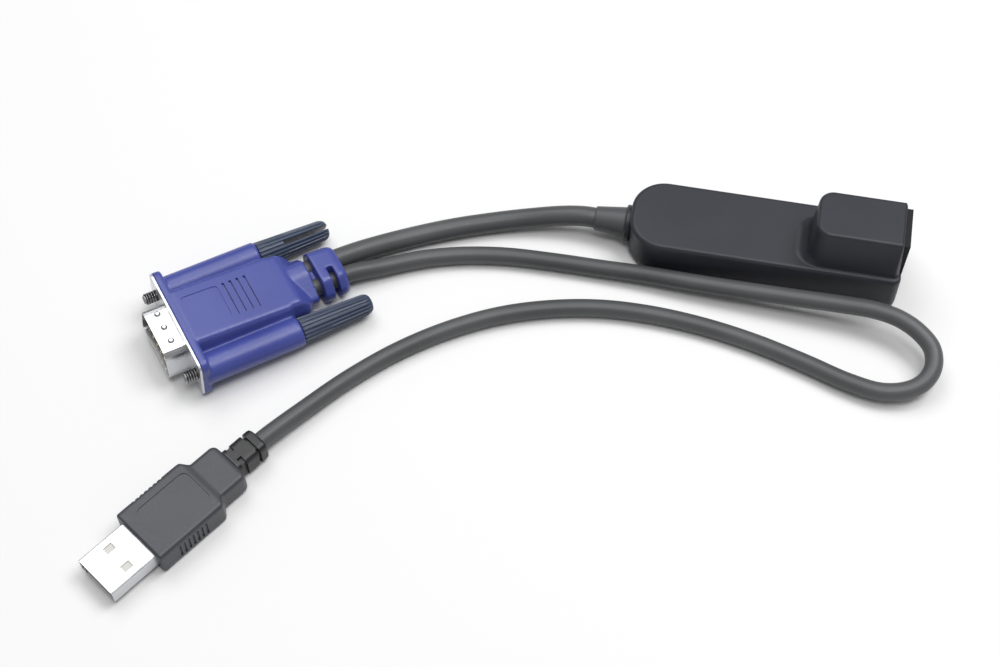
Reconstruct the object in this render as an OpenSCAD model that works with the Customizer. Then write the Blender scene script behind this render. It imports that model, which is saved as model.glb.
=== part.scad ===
// KVM server interface module, in millimetres.
// A grey housing with a network jack in its raised end. A video cable runs from the
// other end to a 15-pin plug with two thumbscrews, and a thin lead runs from that
// plug to a USB plug. +X runs from the cable end to the jack end and +Z is up. The
// origin is the middle of the footprint of the housing, its sleeve and its jack.

/* [Housing] */
// Length of the housing
body_l = 67.8; // [64:0.2:74]
// Width of the housing
body_w = 20.4; // [20.2:0.2:24]
// Height of the low part of the housing
body_h = 12; // [11.8:0.2:14]
// Height of the lower cover's edge
cover_h = 2.4; // [2.2:0.1:2.4]
// Wall thickness of the housing
wall = 1.2; // [1:0.05:1.3]
// Plan radius at the cable end
nose_r = 8.4; // [6:0.2:9]
// Plan radius at the jack end
end_r = 2; // [1.8:0.1:3]
// Radius of the low part's top edge
top_fillet = 1; // [0.4:0.1:1.2]
// Height of the raised end over the low part
hump_h = 12.6; // [12.4:0.1:15]
// Length of the raised end at its top
hump_l = 21.1; // [20.8:0.2:24]
// Width of the raised end at its top
hump_w = 13.4; // [13.2:0.1:14]
// Distance of the raised end's middle from the housing's middle
hump_off = 1.2; // [0:0.1:1.3]
// Foot radius where the raised end meets the low part
hump_foot = 3; // [1:0.2:4]

/* [Network jack] */
// Height of the jack, which lies on its side
jack_h = 15.9; // [15.5:0.1:16]
// Width of the jack
jack_w = 11.2; // [11:0.1:11.4]
// Depth of the jack
jack_l = 16; // [15:0.2:16.4]
// How far the jack's top stands out of the end wall
jack_out = 1.4; // [0.9:0.1:1.6]
// Sheet thickness of the jack's shield
shield_t = 0.25; // [0.2:0.05:0.35]
// Long side of the port opening
port_long = 11.9; // [11.7:0.05:12]
// Short side of the port opening
port_short = 6.8; // [6.6:0.05:7]

/* [Cable sleeve] */
// Free length of the sleeve
sleeve_l = 8.9; // [6:0.2:14]
// Diameter at the sleeve's tip
sleeve_tip_d = 6.1; // [5.9:0.1:7]
// Diameter at the sleeve's root
sleeve_root_d = 7.8; // [7.4:0.1:8]
// Diameter of the video cable
cable_d = 5.2; // [4.8:0.1:5.4]
// Diameter of the USB lead
lead_d = 4.4; // [4:0.1:4.6]

/* [Circuit boards] */
// Thickness of the boards
board_t = 1.2; // [1:0.1:1.6]
// Height of the main board's top
board_z = 4.6; // [4.4:0.1:5]
// Gap between the main board and the walls
board_gap = 0.5; // [0.3:0.1:0.8]
// Length of the isolation transformer
trafo_l = 8.8; // [7:0.2:9.2]
// Diameter of the screw bosses
boss_d = 4.4; // [4:0.1:5]
// Diameter of the cover screws
screw_d = 2; // [1.8:0.1:2.2]

/* [Video plug] */
// Distance between the thumbscrews
screw_pitch = 24.99; // [24.8:0.01:25.2]
// Thread diameter of the thumbscrews, UNC 4-40
thread_d = 2.84; // [2.7:0.01:2.9]
// Length of the blue flange across the thumbscrews
flange_w = 31.4; // [31:0.2:33]
// Height of the blue flange
flange_h = 13; // [12.6:0.1:14]
// Thickness of the blue flange
flange_t = 2.2; // [1.6:0.1:3]
// Length of the metal flange
plate_w = 30.8; // [30:0.1:30.8]
// Height of the metal flange
plate_h = 12.5; // [12:0.1:12.6]
// Thickness of the metal flange and shell
plate_t = 0.5; // [0.4:0.05:0.6]
// Length of the D shell in front of its flange
d_out = 5.6; // [5:0.1:6]
// Wide side of the D shell
d_wide = 17.9; // [17.5:0.1:18]
// Height of the D shell
d_high = 9.4; // [9:0.1:9.6]
// Slope of the D shell's sides
d_slope = 10; // [8:0.5:12]
// Pin diameter
pin_d = 0.76; // [0.7:0.02:0.8]
// Pin spacing in a row
pin_pitch = 2.29; // [2.2:0.01:2.35]
// Spacing of the rows
row_pitch = 1.98; // [1.9:0.01:2]
// Distance from the thumbscrew tips back to the metal flange
tip_out = 3.2; // [2:0.1:5]
// Length of the hood behind its flange, to the foot of its rear wall
hood_l = 30.5; // [28:0.5:33]
// Half height of the hood at its flange
hood_front_h = 6.5; // [6.2:0.1:6.5]
// Half height of the hood at its rear
hood_rear_h = 5; // [4.6:0.1:5.4]
// Widest half width of the hood
hood_half = 9.3; // [8.8:0.1:9.3]
// Half width of the hood's top
hood_top_half = 8.3; // [7.6:0.1:8.5]
// Length of the thumbscrew tubes behind the flange
tube_l = 24.5; // [21:0.2:26]
// Radius of the thumbscrew tubes
tube_r = 3.7; // [3.4:0.1:3.9]
// Length of the thumbscrew grips
grip_l = 19; // [15:0.5:22]
// Diameter of the grips at the tubes
grip_d = 6.7; // [6:0.1:6.8]
// Diameter of the grips at their ends
grip_end_d = 5.4; // [4.8:0.1:5.8]
// Width of the screwdriver slot
slot_w = 1.1; // [0.8:0.1:1.4]
// Length of the segmented strain relief
boot_l = 10.6; // [9:0.2:14]

/* [USB plug] */
// Width of the metal shell
usb_w = 12; // [11.9:0.05:12.1]
// Height of the metal shell
usb_h = 4.5; // [4.4:0.05:4.6]
// Length of the metal shell in front of the grip
usb_out = 12.8; // [11.5:0.1:13]
// Sheet thickness of the metal shell
usb_t = 0.3; // [0.25:0.05:0.4]
// Width of the grip
grip_w = 16; // [15:0.2:17]
// Height of the grip
grip_h = 8; // [7.4:0.1:8]
// Length of the grip's wide part
grip_front_l = 18.3; // [16:0.1:20]
// Length of the whole grip without its strain relief
grip_all_l = 27.7; // [26:0.1:32]
// Half width of the grip's rear part
grip_neck = 5.9; // [5:0.1:6.4]
// Length of the strain relief
usb_boot_l = 8.8; // [7:0.1:12]

/* [Hidden] */
over = 0.5;            // overrun of every cut
seat = 0.05;           // clearance of pieces that seat in each other
run = 0.25;            // radial clearance of a turning screw
arc_n = 6;             // steps in a quarter turn of an outline
soft_n = 3;            // steps in a small rounded corner

// Housing, worked out from the sizes above.
total_l = sleeve_l + body_l;
total_h = body_h + hump_h;
x_tip = -total_l / 2;
x0 = x_tip + sleeve_l;
x1 = x0 + body_l;
draft = 4;             // draft of the raised end's sides, degrees
end_draft = 4.4;         // draft of the end wall, degrees
side_draft = 1;        // draft of the low part's sides, degrees
nose_fillet = 3;       // bottom edge at the cable end
side_fillet = 0.9;     // bottom edge along the sides
hump_fillet = 0.9;     // top edge of the raised end
hump_r = 4.4;          // plan radius of the raised end, cable side
hump_end_r = 2.2;      // plan radius of the raised end, jack side
hump_lean = tan(draft) * hump_h;
hump_x0 = x1 - tan(end_draft) * (total_h - cover_h) - hump_l - hump_lean;
hump_y0 = -hump_off - hump_w / 2 - hump_lean;
hump_y1 = -hump_off + hump_w / 2 + hump_lean;

// Jack, seated under the raised end's roof and against its upright board.
jack_y = -hump_off;
jack_gap = 0.15;
jack_z1 = total_h - wall - jack_gap;
jack_z0 = jack_z1 - jack_h;
x_jack = x1 - tan(end_draft) * (jack_z1 - cover_h) + jack_out;
jack_back = x_jack - jack_l;
port_deep = 12.4;
port_floor = 1.35;     // plastic under the contacts
port_y0 = jack_y - jack_w / 2 + shield_t + port_floor;
port_y1 = port_y0 + port_short;
port_z = (jack_z0 + jack_z1) / 2;
latch_w = 6.1;
latch_step_w = 3.3;
latch_d = 1.5;
latch_step_d = 0.75;
contact_n = 8;
contact_pitch = 1.02;
contact_w = 0.35;
contact_t = 0.3;
contact_rise = 1.9;
contact_front = 3.2;
contact_l = 7.2;

// Boards and what they carry.
board_inset = 4.5;
board_end_gap = 4.3;
board_chamfer = 4;
board_r = 1;
board_x0 = x0 + board_inset;
board_x1 = x1 - board_end_gap;
board_half = body_w / 2 - wall - board_gap;
upright_x1 = jack_back;
upright_x0 = upright_x1 - board_t;
upright_half = jack_w / 2 - board_gap;
screw_first = 14.8;
screw_gap = 2.6;       // room between the second pillar and the header
header_l = 2.5;
header_tail = 1.6;
screw_x = [x0 + screw_first, upright_x0 - header_l - header_tail - screw_gap - boss_d / 2];
pad_d = 5;
head_d = 3.6;
head_h = 1.2;
screw_l = 7;
chip_h = 1.5;
chip_back = 8.4;
chip_x = screw_x[0] + chip_back;
leg_l = 1;
leg_h = 0.7;
leg_w = 0.3;
leg_n = 11;
trafo_leg_n = 8;
trafo_leg_pitch = 1.1;
small_l = 2;
small_w = 1.25;
small_h = 0.9;
small_inset = 1.2;
small_first = 4;
small_y = board_half - small_inset;
side_room = small_y - small_w / 2 - leg_l - 2 * seat;   // half width between the small parts
chip_share = 0.9;      // side of the processor over the width between the small parts
chip_w = 2 * side_room * chip_share;
leg_pitch = chip_w / (leg_n + 1.5);
trafo_w = 2 * side_room;
trafo_back = 11.2;
trafo_x = chip_x + trafo_back;
trafo_h_share = 0.85;   // height of the transformer over the room above the board
trafo_h = (body_h - wall - board_z - leg_w) * trafo_h_share;
small_step = 4.2;
small_n = 8;
ic_l = 4.9;
ic_w = 3.9;
ic_h = 1.4;
ic_leg_n = 4;
ic_leg_pitch = 1.27;
xtal_inset = 1;
xtal_l = board_half - 2 * xtal_inset - boss_d / 2;
xtal_w = 3.2;
xtal_h = 1.1;
header_w = 7.6;
header_h = 2.5;
header_pin = 0.64;
header_pitch = 1.27;
header_n = 6;
plug_l = 4.6;
plug_w = 9.6;
plug_h = 3.6;
plug_inset = 2.2;
plug_x = board_x0 + plug_inset;
wire_d = 0.9;
wire_n = 6;
wire_pitch = 1.25;
wire_in_share = 0.6;    // spacing where the jacket ends, over that at the connector
jacket_in = 2.2;
core_end = x0 + wall + jacket_in;   // where the jacket of the cable ends

// Sleeve, on the middle height of the low part.
cable_z = body_h / 2;
sleeve_flange_share = 0.44;   // flange of the sleeve over the width of the housing
sleeve_neck_share = 0.78;     // its neck over that flange
collar_share = 1.022;         // collar outside the end wall over that flange
sleeve_flange_d = body_w * sleeve_flange_share;
neck_d = sleeve_flange_d * sleeve_neck_share;
collar_d = sleeve_flange_d * collar_share;
sleeve_flange_t = 1.1;
collar_t = 1.2;
cable_in = 2;          // how far each cord runs into its gland

// Video plug: its own axes are u to the nose, v to the viewer, w up. Places are
// measured back from the thumbscrew tips.
vga_at = [-135.3, -55.1, 7.7];
vga_yaw = 218.9;
vga_tilt = -4;
u_plate = -tip_out;
u_hood = u_plate - plate_t;
u_flange = u_hood - flange_t;
u_tube = u_flange - tube_l;
u_rear = u_flange - hood_l;
u_boot = u_rear - boot_l;
plate_r = 1.6;
flange_r = 2.6;
d_r = 2.4;
pin_out = 4.9;
pin_back = 5;
pin_n = 5;
face_back = 0.6;       // insulator face in front of the flange
block_w = 14.4;
block_h = 7.8;
block_l = 5.4;
sheath_t = 0.4;
sheath_l = 4.6;
mould_w = 13;
mould_h = 7.4;
mould_l = 20;
vga_cable_v = -2.9;
vga_lead_v = 2.4;
shank_d = 2.2;
thread_l = 8;
free_l = 3.1;          // thread in front of the flange
screw_bore = thread_d + 2 * seat;
journal_d = screw_bore - 2 * run;
shank_in = 5;          // shank inside the grip
grip_gap = 0.1;
flute_n = 18;
flute_d = 0.22;
flute_w = 0.5;
slot_l = 12.3;
groove_n = 4;
groove_w = 0.5;
groove_d = 0.4;
groove_pitch = 1.85;
groove_first = 12;     // first groove behind the flange
groove_half = 5;
dimple_d = 1.6;
dimple_h = 0.35;
dimple_u = 2.6;
dimple_pitch = 4.2;
rear_lean = 3.2;       // how far the hood's rear wall leans forward
rear_top = u_rear + rear_lean;
grip_side_gap = 0.35;  // between a grip and the hood's side
hood_rear_half = screw_pitch / 2 - grip_d / 2 - grip_side_gap;
panel_l = 9.6;         // sunk label panel on the hood's top
panel_w = 10;
panel_r = 1.3;
panel_d = 0.15;
panel_from = 0.9;

// USB plug, measured from where its shell leaves the grip.
usb_at = [-126.7, -106.7, 4];
usb_yaw = 236.2;
usb_in = 6;
hole_u = 6.1;
hole_v = 3.1;
hole_l = 2.5;
hole_w = 2;
tongue_h = 1.9;
tongue_gap = 0.6;      // tongue end behind the shell's mouth
usb_contact_n = 4;
usb_contact_w = 1;
usb_contact_t = 0.2;
usb_contact_v = [-3.5, -1, 1, 3.5];
usb_contact_l = 8;
usb_block_l = 12;
usb_block_side = 1;    // how much narrower than the shell the block is
frame_l = 15;
frame_w = 10.4;
frame_d = 0.2;
frame_r = 2;
frame_from = 3.3;
rib_n = 5;
rib_pitch = 1.4;
rib_w = 0.6;
rib_d = 0.35;
rib_from = 6.5;
rib_half = 2.4;

// Cord routes through round points chosen on the table. The ends are worked out
// from the sleeve and from the plugs.
function in_vga(p) = let (c = cos(vga_tilt), s = sin(vga_tilt),
        x = p[0] * c + p[2] * s, z = p[2] * c - p[0] * s)
    [vga_at[0] + x * cos(vga_yaw) - p[1] * sin(vga_yaw),
     vga_at[1] + x * sin(vga_yaw) + p[1] * cos(vga_yaw), vga_at[2] + z];
function in_usb(p) =
    [usb_at[0] + p[0] * cos(usb_yaw) - p[1] * sin(usb_yaw),
     usb_at[1] + p[0] * sin(usb_yaw) + p[1] * cos(usb_yaw), usb_at[2] + p[2]];

video_route = concat(
    [in_vga([u_boot + cable_in, vga_cable_v, 0]), in_vga([u_boot - cable_in, vga_cable_v, 0])],
    [[-94.5, -18.6, 3.5], [-85.5, -13.3, 3], [-74, -7.8, 2.9], [-62.5, -3.6, 3.1],
     [-54, -1.5, 4], [-47, -0.4, 5.2]],
    [[x_tip - cable_in * 1.5, 0, cable_z], [x_tip + cable_in, 0, cable_z]]);

lead_route = concat(
    [in_vga([u_boot + cable_in, vga_lead_v, 0]), in_vga([u_boot - cable_in, vga_lead_v, 0])],
    [[-89, -22.6, 3.2], [-79.5, -18, 2.7], [-70, -15, 2.5], [-59, -13.2, 2.5],
     [-47, -12.7, 2.6], [-35, -12.7, 2.8], [-24, -12.9, 3.4], [-11, -13.7, 4.3],
     [2, -14.3, 5.2], [14, -14.8, 6.2], [25, -15.3, 7.2], [33, -16, 8], [39, -17.5, 8.2],
     [44, -20.2, 7.8], [47.6, -24, 7], [48.4, -28.4, 6], [46.6, -32.2, 5],
     [43, -34.7, 4.2], [37, -35.9, 3.6], [29, -34.4, 3.1], [18, -30.7, 2.7],
     [5, -27, 2.5], [-8, -24.6, 2.4], [-21, -23.6, 2.4], [-33, -24.1, 2.4],
     [-45, -26.4, 2.4], [-57, -30.5, 2.4], [-68.5, -36.7, 2.4], [-79.5, -44.8, 2.4],
     [-89.7, -54.8, 2.6], [-98, -65, 3.2]],
    [in_usb([-grip_all_l - usb_boot_l - cable_in, 0, 0]),
     in_usb([-grip_all_l - usb_boot_l + cable_in, 0, 0])]);

// ---- shared shapes ----

function unit(v) = v / norm(v);
function quarter(c, rx, ry, a0) =
    [for (i = [0:arc_n]) [c[0] + rx * cos(a0 + 90 * i / arc_n),
                          c[1] + ry * sin(a0 + 90 * i / arc_n)]];
// A rectangle b = [x0, x1, y0, y1] with plan radii r = [left, right] whose sides move
// in by e = [left, right, side] while the corner centres stay.
function plan_ring(b, r, e) = concat(
    quarter([b[1] - r[1], b[3] - r[1]], r[1] - e[1], r[1] - e[2], 0),
    quarter([b[0] + r[0], b[3] - r[0]], r[0] - e[0], r[0] - e[2], 90),
    quarter([b[0] + r[0], b[2] + r[0]], r[0] - e[0], r[0] - e[2], 180),
    quarter([b[1] - r[1], b[2] + r[1]], r[1] - e[1], r[1] - e[2], 270));
function lift(p, z) = [for (q = p) [q[0], q[1], z]];
// A polygon with each corner rounded over the length r.
function rounded(p, r, n) = [for (i = [0:len(p) - 1])
    let (c = p[i], a = p[(i + len(p) - 1) % len(p)], b = p[(i + 1) % len(p)],
         u = c + unit(a - c) * r[i % len(r)], v = c + unit(b - c) * r[i % len(r)])
    for (k = [0:n]) let (t = k / n)
        u * (1 - t) * (1 - t) + 2 * t * (1 - t) * c + t * t * v];

// Skin over a stack of rings with the same number of points.
module loft(rings) {
    n = len(rings[0]);
    m = len(rings);
    polyhedron(points = [for (r = rings) each r], faces = concat(
        [[for (i = [0:n - 1]) i]],
        [[for (i = [n - 1:-1:0]) (m - 1) * n + i]],
        [for (k = [0:m - 2], i = [0:n - 1]) let (j = (i + 1) % n)
            [k * n + i, (k + 1) * n + i, (k + 1) * n + j]],
        [for (k = [0:m - 2], i = [0:n - 1]) let (j = (i + 1) % n)
            [k * n + i, (k + 1) * n + j, k * n + j]]));
}

// Tube along a route, square to it at both ends.
module tube(route, d, sides) {
    last = len(route) - 1;
    loft([for (i = [0:last])
        let (t = unit(route[min(i + 1, last)] - route[max(i - 1, 0)]),
             side = unit(cross([0, 0, 1], t)), up = cross(t, side))
        [for (k = [0:sides - 1]) route[i]
            + side * d / 2 * cos(360 * k / sides) + up * d / 2 * sin(360 * k / sides)]]);
}

module at_vga() { translate(vga_at) rotate([0, vga_tilt, vga_yaw]) children(); }
module at_usb() { translate(usb_at) rotate([0, 0, usb_yaw]) children(); }
// Cylinder along +X from the start x.
module rod(x, l, d, sides = 32) {
    translate([x, 0, 0]) rotate([0, 90, 0]) cylinder(h = l, d = d, $fn = sides);
}
// Box from x to x + l, centred on the other axes.
module bar(x, l, w, h) { translate([x, -w / 2, -h / 2]) cube([l, w, h]); }
module across(x, l) {
    translate([x, 0, 0]) rotate([90, 0, 90]) linear_extrude(height = l) children();
}

// ---- housing ----

function body_box() = [x0, x1, -body_w / 2, body_w / 2];
function body_ring(z, nose, end, side) =
    lift(plan_ring(body_box(), [nose_r, end_r], [nose, end, side]), z);
function body_up(z, t) = body_ring(z, t, t + tan(end_draft) * (z - cover_h),
    t + tan(side_draft) * (z - cover_h));
function body_edge(a) = let (f = top_fillet * (1 - cos(a)), z = body_h - top_fillet)
    body_ring(z + top_fillet * sin(a), f * 1.4, tan(end_draft) * (z - cover_h) + f,
        tan(side_draft) * (z - cover_h) + f);
function hump_ring(z, foot, t, f) =
    lift(plan_ring([hump_x0, x1, hump_y0, hump_y1], [hump_r, hump_end_r],
        [tan(draft) * (z - body_h) - foot + t + f,
         tan(end_draft) * (z - cover_h) + t + f,
         tan(draft) * (z - body_h) + t + f]), z);

// Hole for the sleeve's neck and the pocket of its flange, cut in both halves of the
// housing. It is open upwards or downwards to where the halves meet.
module sleeve_seat() {
    translate([0, 0, cable_z]) {
        rod(x0 - over, wall + 2 * over, neck_d + 2 * seat);
        rod(x0 + wall, sleeve_flange_t + 2 * seat, sleeve_flange_d + 2 * seat);
    }
    for (w = [[x0 - over, wall + over, neck_d], [x0 + wall, sleeve_flange_t + 2 * seat, sleeve_flange_d]])
        translate([w[0], -w[2] / 2 - seat, cover_h - wall])
            cube([w[1], w[2] + 2 * seat, cable_z - cover_h + wall]);
}

module upper_shell() {
    color([0.3, 0.32, 0.36]) difference() {
        union() {
            difference() {
                union() {
                    loft(concat([body_up(cover_h, 0)], [for (a = [0:30:90]) body_edge(a)]));
                    loft(concat(
                        [hump_ring(body_h - wall / 2, hump_foot, 0, 0)],
                        [for (a = [0:30:90]) hump_ring(body_h + hump_foot * (1 - cos(a)),
                            hump_foot * (1 - sin(a)), 0, 0)],
                        [for (a = [0:30:90]) hump_ring(total_h - hump_fillet * (1 - sin(a)),
                            0, 0, hump_fillet * (1 - cos(a)))]));
                }
                loft([body_up(cover_h - over, wall), body_up(body_h - wall, wall)]);
                loft([hump_ring(body_h - wall - over, 0, wall, 0),
                      hump_ring(total_h - wall, 0, wall, 0)]);
            }
            for (x = screw_x) translate([x, 0, board_z])
                cylinder(h = body_h - wall / 2 - board_z, d = boss_d, $fn = 24);
        }
        for (x = screw_x) translate([x, 0, board_z - over])
            cylinder(h = screw_l - board_z + over + wall, d = screw_d, $fn = 16);
        // Port: the jack with its seat.
        translate([jack_back - board_t, jack_y - jack_w / 2 - seat, jack_z0 - seat])
            cube([x1 + over - jack_back + board_t, jack_w + 2 * seat, jack_h + 2 * seat]);
        sleeve_seat();
    }
}

lip_h = 0.8;
lip_t = 0.6;
module lower_cover() {
    color([0.28, 0.3, 0.34]) difference() {
        union() {
            difference() {
                loft([for (a = [0:30:90]) body_ring(cover_h * (1 - cos(a)),
                    nose_fillet * (1 - sin(a)), side_fillet * (1 - sin(a)),
                    side_fillet * (1 - sin(a)))]);
                loft([body_ring(wall, nose_fillet * 0.5 + wall, wall + side_fillet * 0.3,
                          wall + side_fillet * 0.3),
                      body_up(cover_h + over, wall)]);
            }
            // Lip inside the upper shell.
            difference() {
                loft([body_up(cover_h - wall / 2, wall * 0.9), body_up(cover_h, wall + seat),
                      body_up(cover_h + lip_h, wall + seat)]);
                loft([body_up(cover_h - wall, wall + lip_t),
                      body_up(cover_h + lip_h + over, wall + lip_t)]);
                translate([x0, -neck_d, cover_h])
                    cube([nose_r / 2, 2 * neck_d, lip_h + over]);
            }
            for (x = screw_x) translate([x, 0, wall / 2])
                cylinder(h = board_z - board_t - wall / 2, d = pad_d, $fn = 24);
        }
        sleeve_seat();
        for (x = screw_x) {
            translate([x, 0, -over]) cylinder(h = head_h + over, d = head_d + 4 * seat, $fn = 24);
            translate([x, 0, -over]) cylinder(h = board_z, d = screw_d + 4 * seat, $fn = 16);
        }
    }
}

module cover_screws() {
    color([0.75, 0.75, 0.77]) for (x = screw_x) translate([x, 0, 0]) {
        difference() {
            translate([0, 0, seat]) cylinder(h = head_h - seat, d = head_d, $fn = 24);
            for (a = [0, 90]) rotate(a) translate([-head_d / 3, -screw_d / 8, -over])
                cube([head_d / 1.5, screw_d / 4, over + head_h / 2]);
        }
        translate([0, 0, head_h]) cylinder(h = screw_l - head_h, d = screw_d, $fn = 16);
    }
}

// ---- boards ----

module main_board() {
    color([0.1, 0.35, 0.2]) difference() {
        translate([0, 0, board_z - board_t]) linear_extrude(height = board_t)
            polygon(rounded([[board_x0, -board_half + board_chamfer],
                [board_x0 + board_chamfer, -board_half],
                [board_x1, -board_half], [board_x1, board_half],
                [board_x0 + board_chamfer, board_half],
                [board_x0, board_half - board_chamfer]], [board_r], soft_n));
        for (x = screw_x) translate([x, 0, 0])
            cylinder(h = board_z + over, d = screw_d + 4 * seat, $fn = 16);
    }
}

module processor_chip() {
    color([0.1, 0.1, 0.11]) translate([chip_x, 0, board_z]) {
        translate([-chip_w / 2, -chip_w / 2, leg_w / 2]) cube([chip_w, chip_w, chip_h]);
        for (a = [0:90:270], i = [0:leg_n - 1]) rotate(a)
            translate([chip_w / 2 - seat, (i - (leg_n - 1) / 2) * leg_pitch - leg_w / 2, 0])
                cube([leg_l + seat, leg_w, leg_h]);
    }
}

module isolation_transformer() {
    color([0.12, 0.12, 0.12]) translate([trafo_x, 0, board_z]) {
        translate([-trafo_l / 2, -trafo_w / 2, leg_w / 2]) cube([trafo_l, trafo_w, trafo_h]);
        for (s = [-1, 1], i = [0:trafo_leg_n - 1])
            translate([(i - (trafo_leg_n - 1) / 2) * trafo_leg_pitch - leg_w / 2,
                       s > 0 ? trafo_w / 2 - seat : -trafo_w / 2 - leg_l, 0])
                cube([leg_w, leg_l + seat, leg_h]);
    }
}

module video_chips() {
    color([0.1, 0.1, 0.11]) for (x = [chip_x + 0.7 * ic_l, chip_x + 2.7 * ic_l])
        translate([x, 0, board_z - board_t]) mirror([0, 0, 1]) {
            translate([-ic_l / 2, -ic_w / 2, 0]) cube([ic_l, ic_w, ic_h]);
            for (s = [-1, 1], i = [0:ic_leg_n - 1])
                translate([(i - (ic_leg_n - 1) / 2) * ic_leg_pitch - leg_w / 2,
                           s > 0 ? ic_w / 2 - seat : -ic_w / 2 - leg_l, 0])
                    cube([leg_w, leg_l + seat, leg_h]);
        }
}

module crystal() {
    color([0.8, 0.8, 0.82])
        translate([screw_x[0] - xtal_w / 2, -board_half + xtal_inset, board_z])
            cube([xtal_w, xtal_l, xtal_h]);
}

module small_parts() {
    color([0.65, 0.55, 0.4]) for (s = [-1, 1], i = [0:small_n - 1])
        translate([screw_x[0] + small_first + i * small_step, s * small_y - small_w / 2, board_z])
            cube([small_l, small_w, small_h]);
}

module jack_board() {
    color([0.1, 0.35, 0.2]) translate([upright_x0, jack_y - upright_half, board_z])
        cube([board_t, 2 * upright_half, jack_z1 - board_z - board_gap]);
}

module board_header() {
    color([0.12, 0.12, 0.12]) translate([upright_x0 - header_l, jack_y, board_z]) {
        translate([0, -header_w / 2, 0]) cube([header_l, header_w, header_h]);
        for (i = [0:header_n - 1])
            translate([-header_tail, (i - (header_n - 1) / 2) * header_pitch - header_pin / 2,
                       header_h / 2 - header_pin / 2])
                cube([header_tail, header_pin, header_pin]);
    }
}

// ---- network jack ----

module port_cut() {
    translate([x_jack - port_deep, port_y0, port_z - port_long / 2])
        cube([port_deep + over, port_short, port_long]);
    translate([x_jack - port_deep, port_y1 - over, port_z - latch_w / 2])
        cube([port_deep + over, latch_step_d + over, latch_w]);
    translate([x_jack - port_deep, port_y1 - over, port_z - latch_step_w / 2])
        cube([port_deep + over, latch_d + over, latch_step_w]);
}

module jack_housing() {
    color([0.08, 0.08, 0.09]) difference() {
        translate([jack_back, jack_y - jack_w / 2 + shield_t, jack_z0 + shield_t])
            cube([jack_l - shield_t, jack_w - 2 * shield_t, jack_h - 2 * shield_t]);
        port_cut();
        // Slots that hold the contacts.
        for (i = [0:contact_n - 1])
            translate([x_jack - port_deep, port_y0 - contact_t,
                       port_z + (i - (contact_n - 1) / 2) * contact_pitch - contact_w / 2])
                cube([port_deep - contact_front + seat, contact_t + over, contact_w]);
    }
}

module jack_shield() {
    color([0.72, 0.73, 0.75]) difference() {
        translate([jack_back, jack_y - jack_w / 2, jack_z0]) cube([jack_l, jack_w, jack_h]);
        translate([jack_back - over, jack_y - jack_w / 2 + shield_t, jack_z0 + shield_t])
            cube([jack_l + over - shield_t, jack_w - 2 * shield_t, jack_h - 2 * shield_t]);
        port_cut();
    }
}

module jack_contacts() {
    x = x_jack - contact_front;
    color([0.85, 0.7, 0.3]) for (i = [0:contact_n - 1])
        translate([0, 0, port_z + (i - (contact_n - 1) / 2) * contact_pitch - contact_w / 2])
            linear_extrude(height = contact_w) polygon([
                [x_jack - port_deep, port_y0 - contact_t], [x, port_y0 - contact_t],
                [x, port_y0], [x - contact_l, port_y0 + contact_rise],
                [x - contact_l, port_y0 + contact_rise - contact_t],
                [x - contact_t * contact_l / contact_rise, port_y0],
                [x_jack - port_deep, port_y0]]);
}

// ---- cable sleeve ----

module cable_sleeve() {
    color([0.45, 0.46, 0.48]) translate([0, 0, cable_z]) rotate([0, 90, 0])
        rotate_extrude($fn = 36) polygon([
            [cable_d / 2, x_tip], [sleeve_tip_d / 2 - seat * 4, x_tip],
            [sleeve_tip_d / 2, x_tip + seat * 6],
            [sleeve_root_d / 2, x0 - collar_t], [neck_d / 2, x0 - collar_t],
            [neck_d / 2, x0 + wall + seat],
            [sleeve_flange_d / 2, x0 + wall + seat],
            [sleeve_flange_d / 2, x0 + wall + seat + sleeve_flange_t],
            [cable_d / 2, x0 + wall + seat + sleeve_flange_t]]);
}

module sleeve_collar() {
    color([0.2, 0.21, 0.24]) translate([0, 0, cable_z]) rotate([0, 90, 0])
        rotate_extrude($fn = 36) polygon([
            [neck_d / 2, x0 - collar_t], [collar_d / 2 - collar_t / 4, x0 - collar_t],
            [collar_d / 2, x0 - collar_t * 0.75], [collar_d / 2, x0],
            [neck_d / 2, x0]]);
}

module cable_core() {
    color([0.25, 0.25, 0.27]) translate([0, 0, cable_z]) {
        rod(x_tip + cable_in, core_end - x_tip - cable_in, cable_d);
        // Wires, bent down to the connector.
        for (k = [0:wire_n - 1]) let (y = (k - (wire_n - 1) / 2) * wire_pitch,
                z = board_z + plug_h / 2 - cable_z)
            tube([[core_end - over, y * wire_in_share, 0], [core_end, y * wire_in_share, 0],
                  [plug_x - wire_d, y, z], [plug_x, y, z]], wire_d, 8);
    }
}

module cable_connector() {
    color([0.9, 0.89, 0.84]) translate([plug_x, -plug_w / 2, board_z])
        cube([plug_l, plug_w, plug_h]);
}

// ---- video plug ----

// Half of the D's sides lean by d_slope, the narrow side is up.
function d_outline(inset) = let (t = tan(d_slope) * d_high / 2,
        k = 1 / cos(d_slope), h = d_high / 2 - inset)
    rounded([[d_wide / 2 - inset * k, -h],
             [d_wide / 2 - 2 * t - inset * k, h],
             [-d_wide / 2 + 2 * t + inset * k, h],
             [-d_wide / 2 + inset * k, -h]], [d_r - inset], soft_n + 2);

module round_rect(w, h, r) {
    polygon(rounded([[w / 2, -h / 2], [w / 2, h / 2], [-w / 2, h / 2], [-w / 2, -h / 2]],
        [r], soft_n + 1));
}

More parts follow.
